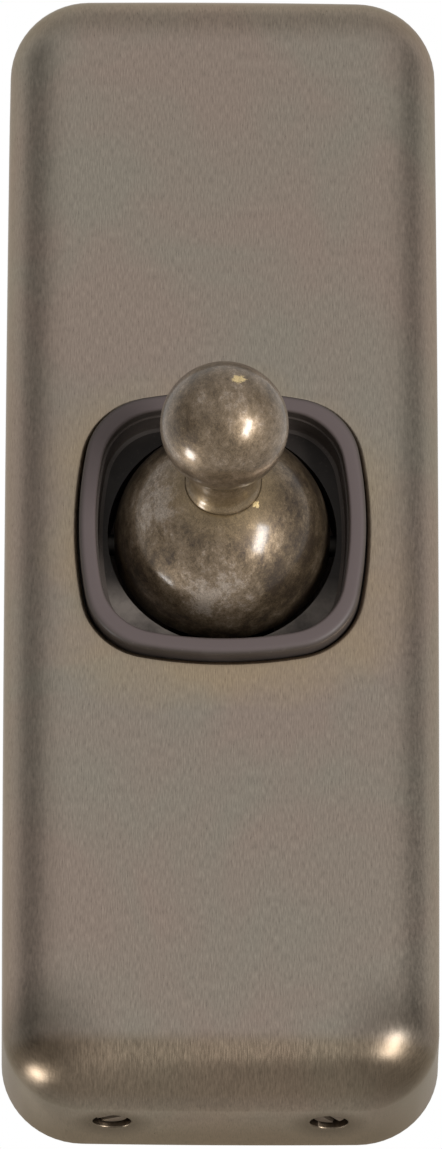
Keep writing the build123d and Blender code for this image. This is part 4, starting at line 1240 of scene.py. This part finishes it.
links.new(places.outputs["Head radius"], head_size.inputs["Y"])
links.new(places.outputs["Head rise"], head_size.inputs["Z"])
links.new(places.outputs["Head rise"], drop.inputs[0])
links.new(places.outputs["Length"], half.inputs[0])
links.new(drop.outputs["Value"], half.inputs[2])
links.new(half.outputs["Value"], outwards.inputs["Z"])
links.new(half.outputs["Value"], other_way.inputs[0])
links.new(other_way.outputs["Value"], inwards.inputs["Z"])
links.new(head.outputs["Mesh"], rear_head.inputs["Geometry"])
links.new(head_size.outputs["Vector"], rear_head.inputs["Scale"])
links.new(outwards.outputs["Vector"], rear_head.inputs["Translation"])
links.new(head.outputs["Mesh"], front_head.inputs["Geometry"])
links.new(head_size.outputs["Vector"], front_head.inputs["Scale"])
links.new(inwards.outputs["Vector"], front_head.inputs["Translation"])
links.new(shank.outputs["Mesh"], whole.inputs["Geometry"])
links.new(rear_head.outputs["Geometry"], whole.inputs["Geometry"])
links.new(front_head.outputs["Geometry"], whole.inputs["Geometry"])
links.new(places.outputs["Geometry"], set_rivets.inputs["Points"])
links.new(whole.outputs["Geometry"], set_rivets.inputs["Instance"])
links.new(set_rivets.outputs["Instances"], real.inputs["Geometry"])
links.new(real.outputs["Geometry"], smooth.inputs["Geometry"])
links.new(smooth.outputs["Geometry"], finish.inputs["Geometry"])
links.new(places.outputs["Finish"], finish.inputs["Material"])
links.new(finish.outputs["Geometry"], result.inputs["Geometry"])
arrange(rivet_tree, {
    "Inputs": [places],
    "Rivet": [short_shank, shank, head, head_size],
    "Ends": [drop, half, other_way, outwards, inwards, rear_head, front_head, whole],
    "Places": [set_rivets, real],
    "Finish": [smooth, finish, result],
})


def set_at_places(name, places, tree, sizes, finish_material):
    """Make a plain mesh of one kind of fastener at a list of places, with a tree's named inputs."""
    mesh = bpy.data.meshes.new(name)
    mesh.from_pydata(places, [], [])
    piece = bpy.data.objects.new(name, mesh)
    scene.collection.objects.link(piece)
    make = piece.modifiers.new("make", "NODES")
    make.node_group = tree
    for socket in tree.interface.items_tree:
        if socket.in_out == "INPUT" and socket.name in sizes:
            make[socket.identifier] = sizes[socket.name]
        if socket.in_out == "INPUT" and socket.name == "Finish":
            make[socket.identifier] = finish_material
    bake(piece)
    return piece


rivet_middle = (rivet_low[1] + rivet_high[1]) / 2
rivet_places = [(x, rivet_middle, z) for x in (-RIVET_X, RIVET_X) for z in (-RIVET_Z, RIVET_Z)]
rivets = set_at_places("rivets", rivet_places, rivet_tree, rivet_sizes, rivet_brass)
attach(rivets, "switch")
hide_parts("housing_rivets")

# ---------------------------------------------------------------------------------------------
# Mounting base: a brown resin moulding that screws to the wall. The cover hooks over its top
# edge, and two threaded brass bushes in its bottom edge take the cover's screws.
# ---------------------------------------------------------------------------------------------
base_material = phenolic("base resin", (0.045, 0.028, 0.018), (0.090, 0.055, 0.036), 0.34, 0.55, 0.30, 0.8)
finish_node("mounting_base", base_material)
finish_node(
    "screw_inserts",
    turned_metal("bush brass", (0.66, 0.48, 0.22), (0.36, 0.25, 0.12), 0.25, 0.42, (0, 0, 1)),
)

# ---------------------------------------------------------------------------------------------
# Terminals: brass barrels with tongues, seen through the wire holes in the back, with silver
# contacts, an earth strip in the base, and the brass rocker that switches between them.
# ---------------------------------------------------------------------------------------------
terminal_brass = turned_metal("terminal brass", (0.68, 0.50, 0.23), (0.38, 0.27, 0.13), 0.24, 0.44, (0, 1, 0))
for node in ("common_terminal", "loop_terminal", "upper_terminal", "lower_terminal", "earth_strip", "rocker"):
    finish_node(node, terminal_brass)
contact_silver = turned_metal("contact silver", (0.78, 0.75, 0.70), (0.45, 0.42, 0.38), 0.22, 0.40, (0, 0, 1))
finish_node("fixed_contacts", contact_silver)
finish_node("moving_contacts", contact_silver)

# ---------------------------------------------------------------------------------------------
# Pivot pin and plunger spring: the hard steel pin that the dolly turns on, and the coil of
# spring wire in the core that presses the plunger against the rocker and moves with it.
# ---------------------------------------------------------------------------------------------
pin_steel = turned_metal("pin steel", (0.045, 0.040, 0.036), (0.028, 0.025, 0.022), 0.45, 0.60, (1, 0, 0))
finish_node("pivot_pin", pin_steel)
spring_mesh = nodes_of["plunger_spring"].data.copy()
spring_shape = bmesh.new()
spring_shape.from_mesh(spring_mesh)
bmesh.ops.remove_doubles(spring_shape, verts=spring_shape.verts, dist=1e-7)
spring_shape.to_mesh(spring_mesh)
spring_shape.free()
spring_mesh.shade_smooth()
spring = bpy.data.objects.new("spring_coil", spring_mesh)
scene.collection.objects.link(spring)
spring_mesh.materials.clear()
spring_mesh.materials.append(
    turned_metal("spring wire", (0.42, 0.41, 0.40), (0.20, 0.19, 0.18), 0.20, 0.36, (0, 1, 0))
)
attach(spring, "plunger")
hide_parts("plunger_spring")
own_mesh(spring)

# ---------------------------------------------------------------------------------------------
# Screws: slotted, turned from bar. Two headless ones in the cover's bottom edge are browned;
# two through the mechanism's ears, four clamps in the terminals and the earth screw are zinc.
# ---------------------------------------------------------------------------------------------
dark_steel = turned_metal("browned steel", (0.24, 0.19, 0.14), (0.15, 0.115, 0.085), 0.55, 0.70, (0, 0, 1))
zinc_steel = turned_metal("zinc plated steel", (0.58, 0.57, 0.54), (0.33, 0.32, 0.29), 0.25, 0.42, (0, 1, 0))
finish_node("earth_screw", zinc_steel)

screw_tree = bpy.data.node_groups.new("slotted screws", "GeometryNodeTree")
screw_tree.interface.new_socket("Geometry", in_out="INPUT", socket_type="NodeSocketGeometry")
for label in ("Shank radius", "Shank length", "Head radius", "Head rise", "Slot width", "Slot depth"):
    screw_tree.interface.new_socket(label, in_out="INPUT", socket_type="NodeSocketFloat")
screw_tree.interface.new_socket("Facing", in_out="INPUT", socket_type="NodeSocketRotation")
screw_tree.interface.new_socket("Slot seed", in_out="INPUT", socket_type="NodeSocketInt")
screw_tree.interface.new_socket("Finish", in_out="INPUT", socket_type="NodeSocketMaterial")
screw_tree.interface.new_socket("Geometry", in_out="OUTPUT", socket_type="NodeSocketGeometry")
nodes = screw_tree.nodes
links = screw_tree.links
places = nodes.new("NodeGroupInput")
places.label = "Screw places and sizes"
rim = nodes.new("GeometryNodeMeshCircle")
rim.label = "Round blank"
rim.fill_type = "NGON"
rim.inputs["Vertices"].default_value = 40
side_share = nodes.new("ShaderNodeMath")
side_share.label = "Straight part of the head"
side_share.operation = "MULTIPLY"
side_share.inputs[1].default_value = 0.6
edge_share = nodes.new("ShaderNodeMath")
edge_share.label = "Rounded part of the head"
edge_share.operation = "MULTIPLY"
edge_share.inputs[1].default_value = 0.4
side_up = nodes.new("GeometryNodeExtrudeMesh")
side_up.label = "Draw up the side"
edge_up = nodes.new("GeometryNodeExtrudeMesh")
edge_up.label = "Draw up the edge"
narrower = nodes.new("GeometryNodeScaleElements")
narrower.label = "Narrow the top"
narrower.inputs["Scale"].default_value = 0.86
under = nodes.new("GeometryNodeMeshCylinder")
under.label = "Shank"
under.inputs["Vertices"].default_value = 24
half_down = nodes.new("ShaderNodeMath")
half_down.label = "Half the shank down"
half_down.operation = "MULTIPLY"
half_down.inputs[1].default_value = -0.5
down = nodes.new("ShaderNodeCombineXYZ")
down.label = "Below the head"
under_place = nodes.new("GeometryNodeTransform")
under_place.label = "Shank under the head"
slot_size = nodes.new("ShaderNodeCombineXYZ")
slot_size.label = "Cutter size"
long_slot = nodes.new("ShaderNodeMath")
long_slot.label = "Longer than the head"
long_slot.operation = "MULTIPLY"
long_slot.inputs[1].default_value = 3
deep_slot = nodes.new("ShaderNodeMath")
deep_slot.label = "Twice the slot depth"
deep_slot.operation = "MULTIPLY"
deep_slot.inputs[1].default_value = 2
slot_block = nodes.new("GeometryNodeMeshCube")
slot_block.label = "Slot cutter"
slot_rise = nodes.new("ShaderNodeCombineXYZ")
slot_rise.label = "At the top of the head"
slot_place = nodes.new("GeometryNodeTransform")
slot_place.label = "Cutter in place"
slotted = nodes.new("GeometryNodeMeshBoolean")
slotted.label = "Cut the slot"
slotted.operation = "DIFFERENCE"
screw = nodes.new("GeometryNodeJoinGeometry")
screw.label = "One screw"
slot_turn = nodes.new("FunctionNodeRandomValue")
slot_turn.label = "Each stopped at its own turn"
slot_turn.data_type = "FLOAT"
slot_turn.inputs[2].default_value = -1.4
slot_turn.inputs[3].default_value = 1.4
turn_vector = nodes.new("ShaderNodeCombineXYZ")
turn_vector.label = "About its own axis"
turn_rotation = nodes.new("FunctionNodeEulerToRotation")
turn_rotation.label = "Turn of the slot"
aimed = nodes.new("FunctionNodeRotateRotation")
aimed.label = "Turned, then faced"
aimed.rotation_space = "LOCAL"
set_screws = nodes.new("GeometryNodeInstanceOnPoints")
set_screws.label = "A screw at each place"
real = nodes.new("GeometryNodeRealizeInstances")
real.label = "Real mesh"
finish = nodes.new("GeometryNodeSetMaterial")
finish.label = "Plating"
result = nodes.new("NodeGroupOutput")
result.label = "Screws"
links.new(places.outputs["Head radius"], rim.inputs["Radius"])
links.new(places.outputs["Head rise"], side_share.inputs[0])
links.new(places.outputs["Head rise"], edge_share.inputs[0])
links.new(rim.outputs["Mesh"], side_up.inputs["Mesh"])
links.new(side_share.outputs["Value"], side_up.inputs["Offset Scale"])
links.new(side_up.outputs["Mesh"], edge_up.inputs["Mesh"])
links.new(side_up.outputs["Top"], edge_up.inputs["Selection"])
links.new(edge_share.outputs["Value"], edge_up.inputs["Offset Scale"])
links.new(edge_up.outputs["Mesh"], narrower.inputs["Geometry"])
links.new(edge_up.outputs["Top"], narrower.inputs["Selection"])
links.new(places.outputs["Shank radius"], under.inputs["Radius"])
links.new(places.outputs["Shank length"], under.inputs["Depth"])
links.new(places.outputs["Shank length"], half_down.inputs[0])
links.new(half_down.outputs["Value"], down.inputs["Z"])
links.new(under.outputs["Mesh"], under_place.inputs["Geometry"])
links.new(down.outputs["Vector"], under_place.inputs["Translation"])
links.new(places.outputs["Head radius"], long_slot.inputs[0])
links.new(places.outputs["Slot depth"], deep_slot.inputs[0])
links.new(long_slot.outputs["Value"], slot_size.inputs["X"])
links.new(places.outputs["Slot width"], slot_size.inputs["Y"])
links.new(deep_slot.outputs["Value"], slot_size.inputs["Z"])
links.new(slot_size.outputs["Vector"], slot_block.inputs["Size"])
links.new(places.outputs["Head rise"], slot_rise.inputs["Z"])
links.new(slot_block.outputs["Mesh"], slot_place.inputs["Geometry"])
links.new(slot_rise.outputs["Vector"], slot_place.inputs["Translation"])
links.new(narrower.outputs["Geometry"], slotted.inputs["Mesh 1"])
links.new(slot_place.outputs["Geometry"], slotted.inputs["Mesh 2"])
links.new(slotted.outputs["Mesh"], screw.inputs["Geometry"])
links.new(under_place.outputs["Geometry"], screw.inputs["Geometry"])
links.new(places.outputs["Slot seed"], slot_turn.inputs["Seed"])
links.new(slot_turn.outputs[1], turn_vector.inputs["Z"])
links.new(turn_vector.outputs["Vector"], turn_rotation.inputs["Euler"])
links.new(places.outputs["Facing"], aimed.inputs["Rotation"])
links.new(turn_rotation.outputs["Rotation"], aimed.inputs["Rotate By"])
links.new(places.outputs["Geometry"], set_screws.inputs["Points"])
links.new(screw.outputs["Geometry"], set_screws.inputs["Instance"])
links.new(aimed.outputs["Rotation"], set_screws.inputs["Rotation"])
links.new(set_screws.outputs["Instances"], real.inputs["Geometry"])
links.new(real.outputs["Geometry"], finish.inputs["Geometry"])
links.new(places.outputs["Finish"], finish.inputs["Material"])
links.new(finish.outputs["Geometry"], result.inputs["Geometry"])
arrange(screw_tree, {
    "Inputs": [places],
    "Head": [rim, side_share, edge_share, side_up, edge_up, narrower],
    "Shank": [under, half_down, down, under_place],
    "Slot": [long_slot, deep_slot, slot_size, slot_block, slot_rise, slot_place, slotted],
    "Turn": [slot_turn, turn_vector, turn_rotation, aimed],
    "Places": [screw, set_screws, real],
    "Finish": [finish, result],
})
FACE_DOWN = (pi, 0, 0)
FACE_FRONT = (pi / 2, 0, 0)

GRUB_RISE = 0.0012
grub_top = screw_low[2]
grub_length = screw_high[2] - screw_low[2]
grub_sizes = {
    "Shank radius": 0.96 * COVER_SCREW_RADIUS,
    "Shank length": grub_length - GRUB_RISE,
    "Head radius": COVER_SCREW_RADIUS,
    "Head rise": GRUB_RISE,
    "Slot width": 0.0005,
    "Slot depth": 0.0008,
    "Facing": FACE_DOWN,
    "Slot seed": 4,
}
grub_places = [(x, HOLE_Y, grub_top + GRUB_RISE) for x in (-HOLE_X, HOLE_X)]
grub_screws = set_at_places("locking_screws", grub_places, screw_tree, grub_sizes, dark_steel)
soft_shading(grub_screws, 30)
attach(grub_screws, "switch")
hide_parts("cover_screws")

ear_low, ear_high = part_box("mechanism_screws")
ear_head = ear_high[0]
ear_z = ear_high[2] - ear_head
ear_rise = 0.0012
ear_sizes = {
    "Shank radius": 0.00125,
    "Shank length": ear_high[1] - ear_low[1] - ear_rise,
    "Head radius": ear_head,
    "Head rise": ear_rise,
    "Slot width": 0.0006,
    "Slot depth": 0.55 * ear_rise,
    "Facing": FACE_FRONT,
    "Slot seed": 11,
}
ear_places = [(0, ear_low[1] + ear_rise, z) for z in (-ear_z, ear_z)]
ear_screws = set_at_places("ear_screws", ear_places, screw_tree, ear_sizes, zinc_steel)
soft_shading(ear_screws, 30)
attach(ear_screws, "switch")
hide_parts("mechanism_screws")

clamp_low, clamp_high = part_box("terminal_screws")
CLAMP_HEAD = (clamp_high[1] - clamp_low[1]) / 2
CLAMP_RISE = 0.0011
clamp_x = clamp_high[0] - CLAMP_HEAD
clamp_y = (clamp_low[1] + clamp_high[1]) / 2
clamp_z = clamp_high[2] - CLAMP_RISE
clamp_sizes = {
    "Shank radius": 0.0015,
    "Shank length": 0.00175,
    "Head radius": CLAMP_HEAD,
    "Head rise": CLAMP_RISE,
    "Slot width": 0.0006,
    "Slot depth": 0.55 * CLAMP_RISE,
}
for end, facing, seed in (("upper", (0, 0, 0), 3), ("lower", FACE_DOWN, 8)):
    clamp_sizes["Facing"] = facing
    clamp_sizes["Slot seed"] = seed
    height = clamp_z if end == "upper" else -clamp_z
    clamp_places = [(x, clamp_y, height) for x in (-clamp_x, clamp_x)]
    clamps = set_at_places(f"{end}_clamp_screws", clamp_places, screw_tree, clamp_sizes, zinc_steel)
    soft_shading(clamps, 30)
    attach(clamps, "switch")
    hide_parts("terminal_screws")

# ---------------------------------------------------------------------------------------------
# The room: a plain pale floor well below the switch, a soft surround that is white behind the
# switch and grey in front, a tall soft light to the right front and a small one low at the left.
# ---------------------------------------------------------------------------------------------
FLOOR_Z = -1.8
floor_mesh = bpy.data.meshes.new("pale_floor")
floor_shape = bmesh.new()
bmesh.ops.create_grid(floor_shape, x_segments=4, y_segments=4, size=6)
bmesh.ops.translate(floor_shape, verts=floor_shape.verts, vec=(0, 0, FLOOR_Z))
floor_shape.to_mesh(floor_mesh)
floor_shape.free()
pale_floor = bpy.data.objects.new("pale_floor", floor_mesh)
scene.collection.objects.link(pale_floor)
floor_paint = bpy.data.materials.new("pale floor")
floor_paint.use_nodes = True
floor_paint.node_tree.nodes["Principled BSDF"].inputs["Base Color"].default_value = (0.8, 0.79, 0.77, 1)
floor_paint.node_tree.nodes["Principled BSDF"].inputs["Roughness"].default_value = 0.8
floor_mesh.materials.append(floor_paint)

scene.view_settings.view_transform = "Standard"
surround = bpy.data.worlds.new("soft surround")
scene.world = surround
surround.use_nodes = True
tree = surround.node_tree
nodes = tree.nodes
links = tree.links
nodes.clear()
direction = nodes.new("ShaderNodeTexCoord")
direction.label = "Direction"
lean = nodes.new("ShaderNodeVectorMath")
lean.label = "How far behind the switch"
lean.operation = "DOT_PRODUCT"
lean.inputs[1].default_value = (0.05, 1, 0)
spread = nodes.new("ShaderNodeMapRange")
spread.label = "Front to back"
spread.inputs["From Min"].default_value = -1
surround_ramp = nodes.new("ShaderNodeValToRGB")
surround_ramp.label = "Grey front, white back"
stops = surround_ramp.color_ramp.elements
stops[0].position = 0.0
stops[0].color = (0.71, 0.705, 0.70, 1)
stops[1].position = 1.0
stops[1].color = (0.86, 0.86, 0.86, 1)
for position, grey in ((0.30, 0.66), (0.46, 0.60), (0.60, 0.84)):
    stop = stops.new(position)
    stop.color = (grey, grey, grey, 1)
left_dark = nodes.new("ShaderNodeVectorMath")
left_dark.label = "Toward the dark side at the left"
left_dark.operation = "DOT_PRODUCT"
left_dark.inputs[1].default_value = (-0.875, -0.336, 0.349)
left_shade = nodes.new("ShaderNodeMapRange")
left_shade.label = "Left shade"
left_shade.inputs["From Min"].default_value = 0.86
left_shade.inputs["From Max"].default_value = 0.985
left_shade.inputs["To Min"].default_value = 1.0
left_shade.inputs["To Max"].default_value = 0.42
right_dark = nodes.new("ShaderNodeVectorMath")
right_dark.label = "Toward the dark side at the right"
right_dark.operation = "DOT_PRODUCT"
right_dark.inputs[1].default_value = (0.913, -0.211, 0.349)
right_shade = nodes.new("ShaderNodeMapRange")
right_shade.label = "Right shade"
right_shade.inputs["From Min"].default_value = 0.88
right_shade.inputs["From Max"].default_value = 0.985
right_shade.inputs["To Min"].default_value = 1.0
right_shade.inputs["To Max"].default_value = 0.47
low_dark = nodes.new("ShaderNodeVectorMath")
low_dark.label = "Toward the dark low corner"
low_dark.operation = "DOT_PRODUCT"
low_dark.inputs[1].default_value = (-0.853, -0.343, -0.384)
low_shade = nodes.new("ShaderNodeMapRange")
low_shade.label = "Low shade"
low_shade.inputs["From Min"].default_value = 0.86
low_shade.inputs["From Max"].default_value = 0.985
low_shade.inputs["To Min"].default_value = 1.0
low_shade.inputs["To Max"].default_value = 0.10
both_sides = nodes.new("ShaderNodeMath")
both_sides.label = "Both sides shaded"
both_sides.operation = "MULTIPLY"
all_shade = nodes.new("ShaderNodeMath")
all_shade.label = "All shades"
all_shade.operation = "MULTIPLY"
shaded = nodes.new("ShaderNodeVectorMath")
shaded.label = "Room with its dark sides"
shaded.operation = "SCALE"
seen = nodes.new("ShaderNodeLightPath")
seen.label = "Seen directly"
lit = nodes.new("ShaderNodeBackground")
lit.label = "Light of the room"
plain_white = nodes.new("ShaderNodeBackground")
plain_white.label = "White backdrop"
plain_white.inputs["Color"].default_value = (1, 1, 1, 1)
plain_white.inputs["Strength"].default_value = 1.0
backdrop = nodes.new("ShaderNodeMixShader")
backdrop.label = "White only where seen directly"
world_output = nodes.new("ShaderNodeOutputWorld")
world_output.label = "Surround"
links.new(direction.outputs["Generated"], lean.inputs[0])
links.new(lean.outputs["Value"], spread.inputs["Value"])
links.new(spread.outputs["Result"], surround_ramp.inputs["Fac"])
links.new(direction.outputs["Generated"], left_dark.inputs[0])
links.new(left_dark.outputs["Value"], left_shade.inputs["Value"])
links.new(direction.outputs["Generated"], right_dark.inputs[0])
links.new(right_dark.outputs["Value"], right_shade.inputs["Value"])
links.new(direction.outputs["Generated"], low_dark.inputs[0])
links.new(low_dark.outputs["Value"], low_shade.inputs["Value"])
links.new(left_shade.outputs["Result"], both_sides.inputs[0])
links.new(right_shade.outputs["Result"], both_sides.inputs[1])
links.new(both_sides.outputs["Value"], all_shade.inputs[0])
links.new(low_shade.outputs["Result"], all_shade.inputs[1])
links.new(surround_ramp.outputs["Color"], shaded.inputs["Vector"])
links.new(all_shade.outputs["Value"], shaded.inputs["Scale"])
links.new(shaded.outputs["Vector"], lit.inputs["Color"])
links.new(seen.outputs["Is Camera Ray"], backdrop.inputs["Fac"])
links.new(lit.outputs["Background"], backdrop.inputs[1])
links.new(plain_white.outputs["Background"], backdrop.inputs[2])
links.new(backdrop.outputs["Shader"], world_output.inputs["Surface"])
arrange(tree, {
    "Direction": [direction, lean, spread],
    "Tone": [surround_ramp, shaded, lit],
    "Dark sides": [
        left_dark, left_shade, right_dark, right_shade, low_dark, low_shade, both_sides, all_shade,
    ],
    "Backdrop": [seen, plain_white, backdrop, world_output],
})


def softbox(name, toward, distance, width, height, power):
    """A soft light that faces the switch from a direction."""
    lamp = bpy.data.lights.new(name, "AREA")
    lamp.shape = "RECTANGLE"
    lamp.size = width
    lamp.size_y = height
    lamp.energy = power
    light = bpy.data.objects.new(name, lamp)
    scene.collection.objects.link(light)
    direction = Vector(toward).normalized()
    light.location = direction * distance
    light.rotation_euler = direction.to_track_quat("Z", "Y").to_euler()


softbox("tall softbox", (0.65, -0.686, -0.309), distance=1.0, width=0.20, height=0.48, power=9)
softbox("low light", (-0.765, 0.19, -0.615), distance=1.0, width=0.25, height=0.25, power=4.8)

# ---------------------------------------------------------------------------------------------
# The camera looks up at the switch from just below, from far enough away that its sides stay
# nearly parallel.
# ---------------------------------------------------------------------------------------------
TARGET = Vector((-0.000075, -0.010, -0.0027))
CAMERA_DISTANCE = 0.8
SENSOR_WIDTH = 36
FOCAL_LENGTH = 366.3
turn = radians(-0.57)
rise = radians(-20.4)
roll = radians(0.105)
back = Vector((sin(turn) * cos(rise), -cos(turn) * cos(rise), sin(rise)))
side = Vector((cos(turn), sin(turn), 0))
upright = back.cross(side)
right = side * cos(roll) + upright * sin(roll)
upright = back.cross(right)
camera_data = bpy.data.cameras.new("camera")
camera_data.sensor_width = SENSOR_WIDTH
camera_data.lens = FOCAL_LENGTH
camera_data.clip_start = 0.01
camera = bpy.data.objects.new("camera", camera_data)
scene.collection.objects.link(camera)
camera.matrix_world = Matrix.Translation(TARGET + back * CAMERA_DISTANCE) @ Matrix((
    (right.x, upright.x, back.x, 0),
    (right.y, upright.y, back.y, 0),
    (right.z, upright.z, back.z, 0),
    (0, 0, 0, 1),
))
scene.camera = camera
